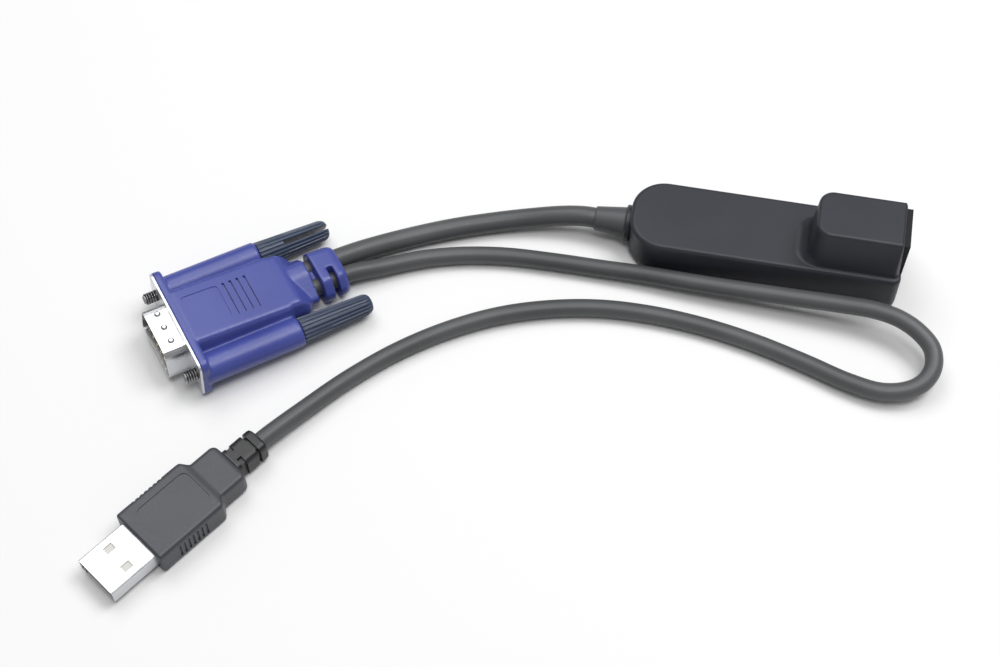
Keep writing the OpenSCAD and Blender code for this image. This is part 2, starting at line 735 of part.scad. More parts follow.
module vga_front_shell() {
    color([0.78, 0.78, 0.8]) at_vga() difference() {
        union() {
            across(u_plate - plate_t, plate_t) round_rect(plate_w, plate_h, plate_r);
            across(u_plate - plate_t / 2, d_out + plate_t / 2) polygon(d_outline(0));
            for (v = [-1, 0, 1]) translate([u_plate + dimple_u, v * dimple_pitch, d_high / 2])
                cylinder(h = dimple_h, d1 = dimple_d, d2 = dimple_d / 2, $fn = 16);
        }
        across(u_plate - plate_t - over, d_out + plate_t + 2 * over)
            polygon(d_outline(plate_t));
        for (s = [-1, 1]) translate([0, s * screw_pitch / 2, 0])
            rod(u_plate - plate_t - over, plate_t + 2 * over, screw_bore);
    }
}

module pin_places() {
    for (r = [-1, 0, 1], i = [0:pin_n - 1])
        translate([0, (i - (pin_n - 1) / 2) * pin_pitch + (r == 0 ? pin_pitch / 4 : -pin_pitch / 4),
                   r * row_pitch]) children();
}

module vga_insulator() {
    color([0.1, 0.15, 0.45]) at_vga() difference() {
        union() {
            across(u_hood, plate_t + face_back) polygon(d_outline(plate_t + seat));
            bar(u_hood - block_l, block_l, block_w, block_h);
        }
        pin_places() rod(u_hood - pin_back, pin_back + over + plate_t + face_back, pin_d, 8);
    }
}

module vga_pins() {
    color([0.85, 0.75, 0.45]) at_vga() pin_places()
        rod(u_hood - pin_back, pin_back + plate_t + pin_out, pin_d, 8);
}

module vga_rear_shell() {
    color([0.7, 0.71, 0.73]) at_vga() difference() {
        bar(u_hood - sheath_l, sheath_l, block_w + 2 * sheath_t, block_h + 2 * sheath_t);
        bar(u_hood - sheath_l - over, sheath_l + 2 * over, block_w, block_h);
    }
}

module vga_inner_mould() {
    color([0.85, 0.85, 0.8]) at_vga()
        bar(u_hood - block_l - mould_l, mould_l, mould_w, mould_h);
}

module vga_cable_cores() {
    color([0.2, 0.2, 0.2]) at_vga() for (c = [[vga_cable_v, cable_d], [vga_lead_v, lead_d]])
        translate([0, c[0], 0])
            rod(u_boot + cable_in, u_hood - block_l - mould_l - u_boot - cable_in, c[1]);
}

// Section of the hood: a = widest half width over the half height m, and a top from
// b[0] to b[1] at the half height h.
function hood_section(a, m, b, h, r) = rounded(
    [[a, -m], [a, m], [b[1], h], [b[0], h], [-a, m], [-a, -m], [b[0], -h], [b[1], -h]],
    [r * 0.6, r * 0.6, r, r, r * 0.6, r * 0.6, r, r], soft_n);
function hood_ring(u, a, m, b, h, r) = [for (p = hood_section(a, m, b, h, r)) [u, p[0], p[1]]];
// Half height of the hood's top, which falls evenly to the rear.
function hood_top(u) = hood_rear_h
    + (hood_front_h - hood_rear_h) * (u - rear_top) / (u_flange - rear_top);

band = 1;              // half height of the hood's widest band
hood_edge = 1.2;       // softness of the hood's long edges
// The rear wall leans: how far up it, how wide and how high each ring is.
rear_shares = [[0, 0.76, 0.26], [0.12, 0.88, 0.36], [0.35, 0.96, 0.54], [0.72, 1, 0.79],
    [0.95, 1, 0.94], [1.15, 1, 1]];
module hood_body() {
    top = [-hood_top_half, hood_top_half];
    tube_end = tube_r / 8;
    loft(concat(
        [for (s = rear_shares) hood_ring(u_rear + rear_lean * s[0], hood_rear_half * s[1],
            band * s[2], top * s[1] * hood_rear_half / hood_half, hood_rear_h * s[2],
            hood_edge * s[2])],
        [for (s = [[u_tube - tube_end, hood_rear_half / hood_half], [u_tube + tube_end, 1],
                   [u_flange + over / 2, 1]])
            hood_ring(s[0], hood_half * s[1], band, top * s[1], hood_top(s[0]), hood_edge)]));
}

neck_a = 6.6;
neck_top = [-3.1, 0.1];   // flat ridge over the video cable
neck_h = 4.7;
boot_a = 7.2;
boot_b = 4.6;
boot_h = 4.7;
core_a = 6;
core_b = 4.6;
core_h = 3.5;
bridge_v = [-3.8, 1];     // bridge between the two side slots
// Neck end, boot, side slots, their end, edge and end of the boot.
boot_shares = [0.21, 0.34, 0.66, 0.79, 0.94, 1];
boot_end_shares = [0.94, 0.84];
module hood_boot() {
    b = [for (s = boot_shares) u_rear - boot_l * s];
    core = [-core_b, core_b];
    top = [-boot_b, boot_b];
    difference() {
        loft([
            for (k = [1, 0]) hood_ring(b[4 + k], boot_a * boot_end_shares[k], band,
                top * boot_end_shares[k], boot_h * boot_end_shares[k], hood_edge),
            hood_ring(b[1], boot_a, band, top, boot_h, hood_edge),
            hood_ring(b[1], core_a, band, core, core_h, hood_edge),
            hood_ring(b[0], core_a, band, core, core_h, hood_edge),
            hood_ring(b[0], neck_a, band, neck_top, neck_h, hood_edge),
            hood_ring(rear_top, neck_a, band, neck_top, neck_h, hood_edge)]);
        // Side slots.
        difference() {
            bar(b[3], b[2] - b[3], 2 * boot_a + 2 * over, 2 * boot_h + 2 * over);
            across(b[3] - over, b[2] - b[3] + 2 * over)
                polygon(hood_section(core_a, band, core, core_h, hood_edge));
            translate([b[3] - over, bridge_v[0], -boot_h - 2 * over])
                cube([b[2] - b[3] + 2 * over, bridge_v[1] - bridge_v[0], 2 * boot_h + 4 * over]);
        }
    }
}

module vga_hood() {
    color([0.2, 0.24, 0.55]) at_vga() difference() {
        union() {
            across(u_flange, flange_t) round_rect(flange_w, flange_h, flange_r);
            for (s = [-1, 1]) translate([0, s * screw_pitch / 2, 0])
                rod(u_tube, u_flange - u_tube + flange_t / 2, 2 * tube_r);
            hood_body();
            hood_boot();
        }
        // Chamber for the connector and its inner moulding.
        bar(u_hood - sheath_l, sheath_l + over, block_w + 2 * sheath_t, block_h + 2 * sheath_t);
        bar(u_hood - block_l, block_l, block_w, block_h);
        bar(u_hood - block_l - mould_l, mould_l, mould_w, mould_h);
        for (c = [[vga_cable_v, cable_d], [vga_lead_v, lead_d]]) translate([0, c[0], 0])
            rod(u_boot - over, u_hood - block_l - mould_l - u_boot + 2 * over, c[1]);
        for (s = [-1, 1]) translate([0, s * screw_pitch / 2, 0])
            rod(u_tube - over, u_hood - u_tube + 2 * over, screw_bore);
        // Four grooves across the top.
        for (i = [0:groove_n - 1]) let (u = u_flange - groove_first - i * groove_pitch)
            translate([u - groove_w / 2, -groove_half, hood_top(u) - groove_d])
                cube([groove_w, 2 * groove_half, 2 * groove_d]);
        // Sunk label panel, level with the sloping top.
        let (u = u_flange - panel_from - panel_l / 2) translate([u, 0, hood_top(u) - panel_d])
            rotate([0, -atan((hood_front_h - hood_rear_h) / (u_flange - rear_top)), 0])
                linear_extrude(height = 2 * panel_d) round_rect(panel_l, panel_w, panel_r);
    }
}

// Tapered grip with a domed end, fluted all round and slotted for a screwdriver.
module thumb_grip() {
    x = u_tube - grip_gap;
    dome = grip_end_d / 3;
    lean = atan((grip_d - grip_end_d) / 2 / (grip_l - dome));
    difference() {
        rotate([0, 90, 0]) rotate_extrude($fn = 36) polygon([
            [0, x - grip_l], [grip_end_d * 0.24, x - grip_l],
            [grip_end_d * 0.36, x - grip_l + dome * 0.18],
            [grip_end_d * 0.46, x - grip_l + dome * 0.55],
            [grip_end_d / 2, x - grip_l + dome], [grip_d / 2, x], [0, x]]);
        for (i = [0:flute_n - 1]) rotate([360 * (i + 0.5) / flute_n, 0, 0])
            translate([x, 0, grip_d / 2]) rotate([0, -lean, 0])
                translate([dome - grip_l, -flute_w / 2, -flute_d])
                    cube([grip_l - dome + over, flute_w, 2 * flute_d]);
        rod(x - shank_in, shank_in + over, shank_d);
        bar(x - grip_l - over, slot_l + over, slot_w, grip_d + over);
    }
}
module thumb_screw() {
    rod(u_tube - grip_gap - shank_in, shank_in + grip_gap - u_tube - thread_l, shank_d);
    rod(-thread_l, thread_l - free_l, journal_d);
    difference() {
        rod(-free_l, free_l, thread_d);
        rotate([0, 90, 0]) rotate_extrude($fn = 32) polygon([
            [thread_d / 2 - over, 0], [thread_d / 2 - over, over],
            [thread_d / 2 + over, over], [thread_d / 2 + over, -over],
            [thread_d / 2, -over]]);
    }
}
module on_screw(s, turn) {
    at_vga() translate([0, s * screw_pitch / 2, 0]) rotate([turn, 0, 0]) children();
}
far_turn = -28;
near_turn = 68;
module thumb_grip_far() { color([0.2, 0.25, 0.35]) on_screw(-1, far_turn) thumb_grip(); }
module thumb_grip_near() { color([0.2, 0.25, 0.35]) on_screw(1, near_turn) thumb_grip(); }
module thumb_screw_far() { color([0.75, 0.75, 0.77]) on_screw(-1, far_turn) thumb_screw(); }
module thumb_screw_near() { color([0.75, 0.75, 0.77]) on_screw(1, near_turn) thumb_screw(); }

// ---- USB plug ----

module usb_shell() {
    color([0.8, 0.8, 0.82]) at_usb() difference() {
        across(-usb_in, usb_in + usb_out) round_rect(usb_w, usb_h, 2 * usb_t);
        across(-usb_in - over, usb_in + usb_out + 2 * over)
            round_rect(usb_w - 2 * usb_t, usb_h - 2 * usb_t, usb_t);
        for (s = [-1, 1]) translate([hole_u - hole_l / 2, s * hole_v - hole_w / 2, -usb_h])
            cube([hole_l, hole_w, 2 * usb_h]);
    }
}

// The tongue lies under the shell's upper wall, with its contacts facing down.
tongue_z = usb_h / 2 - usb_t - seat - tongue_h;
usb_contact_u = usb_out - tongue_gap - over - usb_contact_l;
module usb_tongue() {
    color([0.92, 0.92, 0.9]) at_usb() difference() {
        intersection() {
            across(-usb_in, usb_in + usb_out - tongue_gap)
                round_rect(usb_w - 2 * usb_t - 2 * seat, usb_h - 2 * usb_t - 2 * seat, usb_t);
            translate([-usb_in, -usb_w / 2, tongue_z]) cube([usb_in + usb_out, usb_w, usb_h]);
        }
        for (v = usb_contact_v) translate([usb_contact_u, v - usb_contact_w / 2, tongue_z - over])
            cube([usb_contact_l, usb_contact_w, usb_contact_t + over]);
    }
}

module usb_contacts() {
    color([0.88, 0.74, 0.35]) at_usb() for (v = usb_contact_v)
        translate([usb_contact_u, v - usb_contact_w / 2, tongue_z])
            cube([usb_contact_l, usb_contact_w, usb_contact_t]);
}

module usb_inner_mould() {
    color([0.85, 0.85, 0.8]) at_usb()
        bar(-usb_in - usb_block_l, usb_block_l, usb_w - 2 * usb_block_side, usb_h);
}

module usb_cable_core() {
    color([0.2, 0.2, 0.2]) at_usb() rod(-grip_all_l - usb_boot_l + cable_in,
        grip_all_l + usb_boot_l - cable_in - usb_in - usb_block_l, lead_d);
}

function usb_ring(u, a, h, r) = [for (p = rounded(
    [[a, -h], [a, h], [-a, h], [-a, -h]], [r], soft_n + 1)) [u, p[0], p[1]]];
usb_neck_h = 3.6;      // half height of the grip's rear part
usb_edge = 1.1;        // softness of the grip's long edges
usb_end_edge = 0.4;
usb_boot_a = 3.4;      // half width of the strain relief
usb_core_a = 2.7;      // the same in its slots
usb_boot_edge = 1.9;
usb_bridge = 2.2;      // width of the bridges beside the first slot
// Waist: where it lies between the wide part and u1 - waist_l, and how wide it is there.
waist_l = 2.4;
waist_shares = [[0, 0.97], [0.25, 0.84], [0.5, 0.5], [0.8, 0.12], [1, 0]];
// Rear end of the grip, rounded in steps.
rear_round = 1.6;
rear_round_shares = [[0, 0.45], [0.3, 0.14], [1, 0]];
// Rings of the strain relief, from the grip to its end.
usb_boot_shares = [0.12, 0.27, 0.65, 0.74, 0.95, 1];
module usb_overmould() {
    a = grip_w / 2;
    h = grip_h / 2;
    u1 = -grip_front_l;
    u2 = -grip_all_l;
    b = [for (s = usb_boot_shares) u2 - usb_boot_l * s];
    color([0.22, 0.22, 0.24]) at_usb() difference() {
        loft(concat(
            [usb_ring(b[5], usb_core_a, usb_core_a, usb_boot_edge),
             usb_ring(b[4], usb_boot_a, usb_boot_a, usb_boot_edge),
             usb_ring(b[3], usb_boot_a, usb_boot_a, usb_boot_edge),
             usb_ring(b[3], usb_core_a, usb_core_a, usb_boot_edge),
             usb_ring(b[2], usb_core_a, usb_core_a, usb_boot_edge),
             usb_ring(b[2], usb_boot_a, usb_boot_a, usb_boot_edge),
             usb_ring(u2, usb_boot_a, usb_boot_a, usb_boot_edge)],
            [for (s = rear_round_shares) usb_ring(u2 + rear_round * s[0],
                grip_neck - rear_round * s[1], usb_neck_h - rear_round * s[1] / 2, usb_edge)],
            [for (k = [len(waist_shares) - 1:-1:0]) let (s = waist_shares[k])
                usb_ring(u1 - waist_l * s[0], grip_neck + (a - grip_neck) * s[1],
                    usb_neck_h + (h - usb_neck_h) * s[1], usb_edge)],
            [usb_ring(u1 + usb_edge, a, h, usb_edge),
             usb_ring(-usb_end_edge, a, h, usb_edge),
             usb_ring(0, a - usb_end_edge, h - usb_end_edge, usb_edge - usb_end_edge)]));
        across(-usb_in, usb_in + over) round_rect(usb_w, usb_h, 2 * usb_t);
        bar(-usb_in - usb_block_l, usb_block_l, usb_w - 2 * usb_block_side, usb_h);
        rod(b[5] - over, -usb_in - usb_block_l - b[5] + 2 * over, lead_d);
        // Slots on both sides of the strain relief.
        difference() {
            bar(b[1], b[0] - b[1], 2 * usb_boot_a + over, 2 * usb_boot_a + over);
            bar(b[1] - over, b[0] - b[1] + 2 * over, 2 * usb_core_a, 2 * usb_core_a);
            bar(b[1] - over, b[0] - b[1] + 2 * over, usb_bridge, 2 * usb_boot_a + 2 * over);
        }
        // Shallow framed panel on top.
        translate([-frame_from - frame_l / 2, 0, h - frame_d])
            linear_extrude(height = 2 * frame_d) round_rect(frame_l, frame_w, frame_r);
        // Grip grooves on both sides.
        for (s = [-1, 1], i = [0:rib_n - 1])
            translate([-rib_from - i * rib_pitch, s * a - rib_d, -rib_half])
                cube([rib_w, 2 * rib_d, 2 * rib_half]);
    }
}

// ---- cords ----

module video_cable() { color([0.15, 0.15, 0.16]) tube(video_route, cable_d, 12); }
module usb_lead() { color([0.18, 0.18, 0.2]) tube(lead_route, lead_d, 12); }

upper_shell();
lower_cover();
cover_screws();
main_board();
processor_chip();
isolation_transformer();
video_chips();
crystal();
small_parts();
jack_board();
board_header();
jack_housing();
jack_shield();
jack_contacts();
cable_sleeve();
sleeve_collar();
cable_core();
cable_connector();
video_cable();
vga_hood();
vga_front_shell();
vga_rear_shell();
vga_insulator();
vga_pins();
vga_inner_mould();
vga_cable_cores();
thumb_grip_far();
thumb_grip_near();
thumb_screw_far();
thumb_screw_near();
usb_lead();
usb_overmould();
usb_shell();
usb_tongue();
usb_contacts();
usb_inner_mould();
usb_cable_core();
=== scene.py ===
# %% [markdown]
# # A server module with its video and USB plugs
# This notebook dresses a computer-room adapter: a grey moulded housing with a network
# jack, a cable to a blue video plug, and a thin lead to a USB plug. The solid model
# gives every size. It is loaded first, and each new skin is laid where its solid is,
# so the notebook never guesses a place.

# %% Load the solid model
import math
import bpy
import numpy as np
from mathutils import Matrix, Vector


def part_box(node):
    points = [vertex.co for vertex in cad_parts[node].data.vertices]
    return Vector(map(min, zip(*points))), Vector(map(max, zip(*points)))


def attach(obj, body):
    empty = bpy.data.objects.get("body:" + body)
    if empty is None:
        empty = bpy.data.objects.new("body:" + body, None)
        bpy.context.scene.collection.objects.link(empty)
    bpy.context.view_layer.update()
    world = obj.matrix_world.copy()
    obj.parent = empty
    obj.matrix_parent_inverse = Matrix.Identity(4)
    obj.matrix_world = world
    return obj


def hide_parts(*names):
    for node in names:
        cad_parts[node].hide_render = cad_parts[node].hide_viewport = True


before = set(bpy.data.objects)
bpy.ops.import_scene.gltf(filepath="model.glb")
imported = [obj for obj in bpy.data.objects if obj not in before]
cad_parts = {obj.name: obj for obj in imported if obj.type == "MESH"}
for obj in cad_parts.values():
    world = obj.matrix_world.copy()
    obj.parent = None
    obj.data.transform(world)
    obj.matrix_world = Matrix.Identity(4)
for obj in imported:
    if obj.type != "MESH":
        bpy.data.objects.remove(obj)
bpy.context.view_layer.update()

# %% [markdown]
# ## Camera
# The photo was taken with a fairly long lens from steeply above the table. The camera's
# place was fitted to the plugs, whose sizes are standard: a USB shell is 12 mm wide and
# the thumbscrews of a video plug are 24.99 mm apart. The tilt and the lens are weakly
# fixed by one photo, so both were held near the best fit. Setting the camera's axes
# directly is safer than angles, because each axis can be checked.

# %% Camera at the photo's viewing angle
MM = 0.001
PITCH = math.radians(59)
YAW = math.radians(10.422)
look = Vector((-math.sin(YAW) * math.cos(PITCH), math.cos(YAW) * math.cos(PITCH), -math.sin(PITCH)))
right = Vector((math.cos(YAW), math.sin(YAW), 0))
upward = right.cross(look)
camera = bpy.data.objects.new("photo_camera", bpy.data.cameras.new("photo_camera"))
bpy.context.scene.collection.objects.link(camera)
camera.data.sensor_width = 36
camera.data.lens = 64.8
camera.data.clip_start = 0.01
camera.matrix_world = Matrix((
    (right.x, upward.x, -look.x, -15.08 * MM),
    (right.y, upward.y, -look.y, -259.57 * MM),
    (right.z, upward.z, -look.z, 381.11 * MM),
    (0, 0, 0, 1)))
bpy.context.scene.camera = camera
print("camera", tuple(round(v, 4) for v in camera.matrix_world.translation))

# %% [markdown]
# ## Putting grids of points into meshes
# Every new piece is a surface worked out as a whole numpy array: ring after ring of
# points. One helper turns such an array into a closed mesh, so that each piece below
# only has to say what its rings are.

# %% Skin over a stack of rings
def put_mesh(name, points, faces, material=None, crease=32):
    """Mesh from points in millimetres. Edges sharper than crease degrees stay sharp."""
    mesh = bpy.data.meshes.new(name)
    mesh.from_pydata((np.asarray(points) * MM).tolist(), [], faces)
    mesh.validate()
    mesh.shade_smooth()
    mesh.set_sharp_from_angle(angle=math.radians(crease))
    piece = bpy.data.objects.new(name, mesh)
    bpy.context.scene.collection.objects.link(piece)
    if material:
        mesh.materials.append(material)
    return piece


def ring_faces(m, n, first=0):
    """Quads between m rings of n points, and a flat cap on both ends."""
    k, i = np.meshgrid(np.arange(m - 1), np.arange(n), indexing="ij")
    j = (i + 1) % n
    quads = np.stack([k * n + i, k * n + j, (k + 1) * n + j, (k + 1) * n + i], -1) + first
    caps = [(np.arange(n)[::-1] + first).tolist(), (np.arange(n) + (m - 1) * n + first).tolist()]
    return quads.reshape(-1, 4).tolist() + caps


def skin(name, rings, material=None, crease=32):
    """Closed surface over rings, an array of m by n by 3 whose rings turn
    anticlockwise seen from the last one."""
    return many(name, [rings], material, crease)


def many(name, stacks, material=None, crease=32):
    """One mesh with a closed surface over each stack of rings."""
    points, faces, first = [], [], 0
    for rings in stacks:
        rings = np.asarray(rings, float)
        m, n = rings.shape[:2]
        points.append(rings.reshape(-1, 3))
        faces += ring_faces(m, n, first)
        first += m * n
    return put_mesh(name, np.vstack(points), faces, material, crease)


# %% [markdown]
# ## Cord routes
# A cable is a fixed length of something flexible. Its centreline is given by round
# points on the table, and a smooth cubic curve runs through them. Its knots are spaced
# by the square root of the distance between points, so that it doesn't overshoot in the
# tight loop. The tubes of the solid model follow the same points, apart from the
# outermost one of the loop, which is 0.08 mm further in here, so that the round tube
# stays inside the box of the solids.

# %% Frames of the two plugs
VIDEO_AT = np.array([-135.3, -55.1, 7.7])
USB_AT = np.array([-126.7, -106.7, 4.0])


def axes_of(yaw, nose_up):
    """Columns u (nose), v (to the viewer) and w (up) of a plug that is turned by yaw
    and whose nose is lifted by nose_up, both in degrees."""
    a, b = math.radians(yaw), math.radians(nose_up)
    u = np.array([math.cos(a) * math.cos(b), math.sin(a) * math.cos(b), math.sin(b)])
    v = np.array([-math.sin(a), math.cos(a), 0.0])
    return np.stack([u, v, np.cross(u, v)], 1)


VIDEO_AXES = axes_of(218.9, 4)
USB_AXES = axes_of(236.2, 0)


def from_video(p):
    """Point of the video plug's own axes, in the object's frame."""
    return VIDEO_AT + np.asarray(p, float) @ VIDEO_AXES.T


def from_usb(p):
    """Point of the USB plug's own axes, in the object's frame."""
    return USB_AT + np.asarray(p, float) @ USB_AXES.T


# %% Centrelines
TIP_X = -38.35        # tip of the sleeve
CABLE_Z = 6.0
CABLE_D, LEAD_D = 5.2, 4.4
BOOT_END = -47.0      # end of the video plug's strain relief
USB_END = -36.5       # end of the USB plug's strain relief
CORD_IN = 2.0

video_route = np.vstack([
    from_video([[BOOT_END + CORD_IN, -2.9, 0], [BOOT_END - CORD_IN, -2.9, 0]]),
    [[-94.5, -18.6, 3.5], [-85.5, -13.3, 3], [-74, -7.8, 2.9], [-62.5, -3.6, 3.1],
     [-54, -1.5, 4], [-47, -0.4, 5.2]],
    [[TIP_X - CORD_IN * 1.5, 0, CABLE_Z], [TIP_X + CORD_IN, 0, CABLE_Z]]])
lead_route = np.vstack([
    from_video([[BOOT_END + CORD_IN, 2.4, 0], [BOOT_END - CORD_IN, 2.4, 0]]),
    [[-89, -22.6, 3.2], [-79.5, -18, 2.7], [-70, -15, 2.5], [-59, -13.2, 2.5],
     [-47, -12.7, 2.6], [-35, -12.7, 2.8], [-24, -12.9, 3.4], [-11, -13.7, 4.3],
     [2, -14.3, 5.2], [14, -14.8, 6.2], [25, -15.3, 7.2], [33, -16, 8], [39, -17.5, 8.2],
     [44, -20.2, 7.8], [47.6, -24, 7], [48.32, -28.4, 6], [46.6, -32.2, 5],
     [43, -34.7, 4.2], [37, -35.9, 3.6], [29, -34.4, 3.1], [18, -30.7, 2.7],
     [5, -27, 2.5], [-8, -24.6, 2.4], [-21, -23.6, 2.4], [-33, -24.1, 2.4],
     [-45, -26.4, 2.4], [-57, -30.5, 2.4], [-68.5, -36.7, 2.4], [-79.5, -44.8, 2.4],
     [-89.7, -54.8, 2.6], [-98, -65, 3.2]],
    from_usb([[USB_END - CORD_IN, 0, 0], [USB_END + CORD_IN, 0, 0]])])


def smooth_route(route, step=0.6):
    """Smooth cubic curve through the points, worked out as blends of blends of straight
    lines between knots, and resampled to even steps of about step millimetres."""
    p = np.vstack([2 * route[0] - route[1], route, 2 * route[-1] - route[-2]])
    knots = np.concatenate([[0], np.cumsum(np.sqrt(np.linalg.norm(np.diff(p, axis=0), axis=1)))])
    fine = []
    for i in range(1, len(p) - 2):
        t0, t1, t2, t3 = knots[i - 1:i + 3]
        t = np.linspace(t1, t2, 40, endpoint=False)[:, None]
        a1 = (t1 - t) / (t1 - t0) * p[i - 1] + (t - t0) / (t1 - t0) * p[i]
        a2 = (t2 - t) / (t2 - t1) * p[i] + (t - t1) / (t2 - t1) * p[i + 1]
        a3 = (t3 - t) / (t3 - t2) * p[i + 1] + (t - t2) / (t3 - t2) * p[i + 2]
        b1 = (t2 - t) / (t2 - t0) * a1 + (t - t0) / (t2 - t0) * a2
        b2 = (t3 - t) / (t3 - t1) * a2 + (t - t1) / (t3 - t1) * a3
        fine.append((t2 - t) / (t2 - t1) * b1 + (t - t1) / (t2 - t1) * b2)
    fine = np.vstack(fine + [p[-2:-1]])
    along = np.concatenate([[0], np.cumsum(np.linalg.norm(np.diff(fine, axis=0), axis=1))])
    at = np.linspace(0, along[-1], int(along[-1] / step) + 1)
    return np.stack([np.interp(at, along, fine[:, k]) for k in range(3)], 1), along[-1]


def round_tube(name, path, diameter, material, sides=28):
    """Circle carried along a path: the side vector is the level direction across the
    path, and the third axis completes the frame."""
    tangent = np.gradient(path, axis=0)
    tangent /= np.linalg.norm(tangent, axis=1, keepdims=True)
    side = np.cross([0, 0, 1.0], tangent)
    side /= np.linalg.norm(side, axis=1, keepdims=True)
    up = np.cross(tangent, side)
    turn = np.linspace(0, 2 * math.pi, sides, endpoint=False)
    rings = (path[:, None] + diameter / 2 * (side[:, None] * np.cos(turn)[None, :, None]
                                             + up[:, None] * np.sin(turn)[None, :, None]))
    return skin(name, rings, material, 60)


# %% [markdown]
# ## Finishes
# Each finish is a small node tree on Object coordinates. Moulded plastic is never one
# even colour: it has a fine grain that breaks up its highlights, a slight cloudiness
# from the flow of the melt, and a roughness that changes a little with handling.

# %% Helper for moulded plastics
def node(tree, kind, **inputs):
    """Shader node of that kind with the named inputs set."""
    n = tree.nodes.new(kind)
    for key, value in inputs.items():
        n.inputs[key.replace("_", " ")].default_value = value
    return n


def moulded(name, dark, light, rough, grain=1800, grain_depth=0.02, cloud=60,
            rough_swing=0.08, gloss=0.5, grain_height=0.3):
    """Two close tones mixed by slow noise, a fine grain in the bump, and a roughness
    that swings a little around its mean. Gloss is the share of light that the surface
    mirrors, where 0.5 is polished plastic."""
    m = bpy.data.materials.new(name)
    m.use_nodes = True
    t = m.node_tree
    bsdf = t.nodes["Principled BSDF"]
    bsdf.inputs["Specular IOR Level"].default_value = gloss
    at = t.nodes.new("ShaderNodeTexCoord")
    slow = node(t, "ShaderNodeTexNoise", Scale=cloud, Detail=4.0)
    t.links.new(at.outputs["Object"], slow.inputs["Vector"])
    tones = t.nodes.new("ShaderNodeValToRGB")
    tones.color_ramp.elements[0].position = 0.35
    tones.color_ramp.elements[0].color = (*dark, 1)
    tones.color_ramp.elements[1].position = 0.65
    tones.color_ramp.elements[1].color = (*light, 1)
    t.links.new(slow.outputs["Fac"], tones.inputs["Fac"])
    t.links.new(tones.outputs["Color"], bsdf.inputs["Base Color"])
    fine = node(t, "ShaderNodeTexNoise", Scale=grain, Detail=2.0)
    t.links.new(at.outputs["Object"], fine.inputs["Vector"])
    swing = t.nodes.new("ShaderNodeMapRange")
    swing.inputs["To Min"].default_value = rough - rough_swing
    swing.inputs["To Max"].default_value = rough + rough_swing
    t.links.new(fine.outputs["Fac"], swing.inputs["Value"])
    t.links.new(swing.outputs["Result"], bsdf.inputs["Roughness"])
    bump = node(t, "ShaderNodeBump", Strength=grain_height, Distance=grain_depth * MM)
    t.links.new(fine.outputs["Fac"], bump.inputs["Height"])
    t.links.new(bump.outputs["Normal"], bsdf.inputs["Normal"])
    return m


def plated(name, colour, rough, brushed=(400, 400, 400), metallic=1.0):
    """Metal with faint marks: noise stretched along one axis roughens it."""
    m = bpy.data.materials.new(name)
    m.use_nodes = True
    t = m.node_tree
    bsdf = t.nodes["Principled BSDF"]
    bsdf.inputs["Base Color"].default_value = (*colour, 1)
    bsdf.inputs["Metallic"].default_value = metallic
    at = t.nodes.new("ShaderNodeTexCoord")
    turn = t.nodes.new("ShaderNodeMapping")
    turn.inputs["Scale"].default_value = brushed
    t.links.new(at.outputs["Object"], turn.inputs["Vector"])
    marks = node(t, "ShaderNodeTexNoise", Scale=1.0, Detail=3.0)
    t.links.new(turn.outputs["Vector"], marks.inputs["Vector"])
    swing = t.nodes.new("ShaderNodeMapRange")
    swing.inputs["To Min"].default_value = rough * 0.6
    swing.inputs["To Max"].default_value = rough * 1.5
    t.links.new(marks.outputs["Fac"], swing.inputs["Value"])
    t.links.new(swing.outputs["Result"], bsdf.inputs["Roughness"])
    bump = node(t, "ShaderNodeBump", Strength=0.12, Distance=0.01 * MM)
    t.links.new(marks.outputs["Fac"], bump.inputs["Height"])
    t.links.new(bump.outputs["Normal"], bsdf.inputs["Normal"])
    return m


def threaded(name, pitch, start, colour):
    """Metal whose tip carries a thread. The height is sin(2 pi u / pitch), where u is
    the place along the video plug, and it fades out behind start."""
    m = plated(name, colour, 0.3)
    t = m.node_tree
    at = t.nodes.new("ShaderNodeTexCoord")
    along = t.nodes.new("ShaderNodeVectorMath")
    along.operation = "DOT_PRODUCT"
    along.inputs[1].default_value = VIDEO_AXES[:, 0]
    t.links.new(at.outputs["Object"], along.inputs[0])
    turn, wave, tip, both = (t.nodes.new("ShaderNodeMath") for k in range(4))
    turn.operation, wave.operation = "MULTIPLY", "SINE"
    tip.operation, both.operation = "GREATER_THAN", "MULTIPLY"
    turn.inputs[1].default_value = 2 * math.pi / (pitch * MM)
    tip.inputs[1].default_value = float(VIDEO_AT @ VIDEO_AXES[:, 0] + start) * MM
    t.links.new(along.outputs["Value"], turn.inputs[0])
    t.links.new(turn.outputs["Value"], wave.inputs[0])
    t.links.new(along.outputs["Value"], tip.inputs[0])
    t.links.new(wave.outputs["Value"], both.inputs[0])
    t.links.new(tip.outputs["Value"], both.inputs[1])
    # The base colour is scaled down to 0.12 of itself in the thread's valleys: painted shade.
    shade = t.nodes.new("ShaderNodeMapRange")
    shade.inputs["From Min"].default_value = -0.8
    shade.inputs["From Max"].default_value = 0.8
    shade.inputs["To Min"].default_value = 0.12
    t.links.new(both.outputs["Value"], shade.inputs["Value"])
    tone = t.nodes.new("ShaderNodeVectorMath")
    tone.operation = "SCALE"
    tone.inputs[0].default_value = colour
    t.links.new(shade.outputs["Result"], tone.inputs["Scale"])
    t.links.new(tone.outputs["Vector"], t.nodes["Principled BSDF"].inputs["Base Color"])
    bump = node(t, "ShaderNodeBump", Strength=0.8, Distance=0.15 * MM)
    t.links.new(both.outputs["Value"], bump.inputs["Height"])
    t.links.new(bump.outputs["Normal"], t.nodes["Principled BSDF"].inputs["Normal"])
    return m


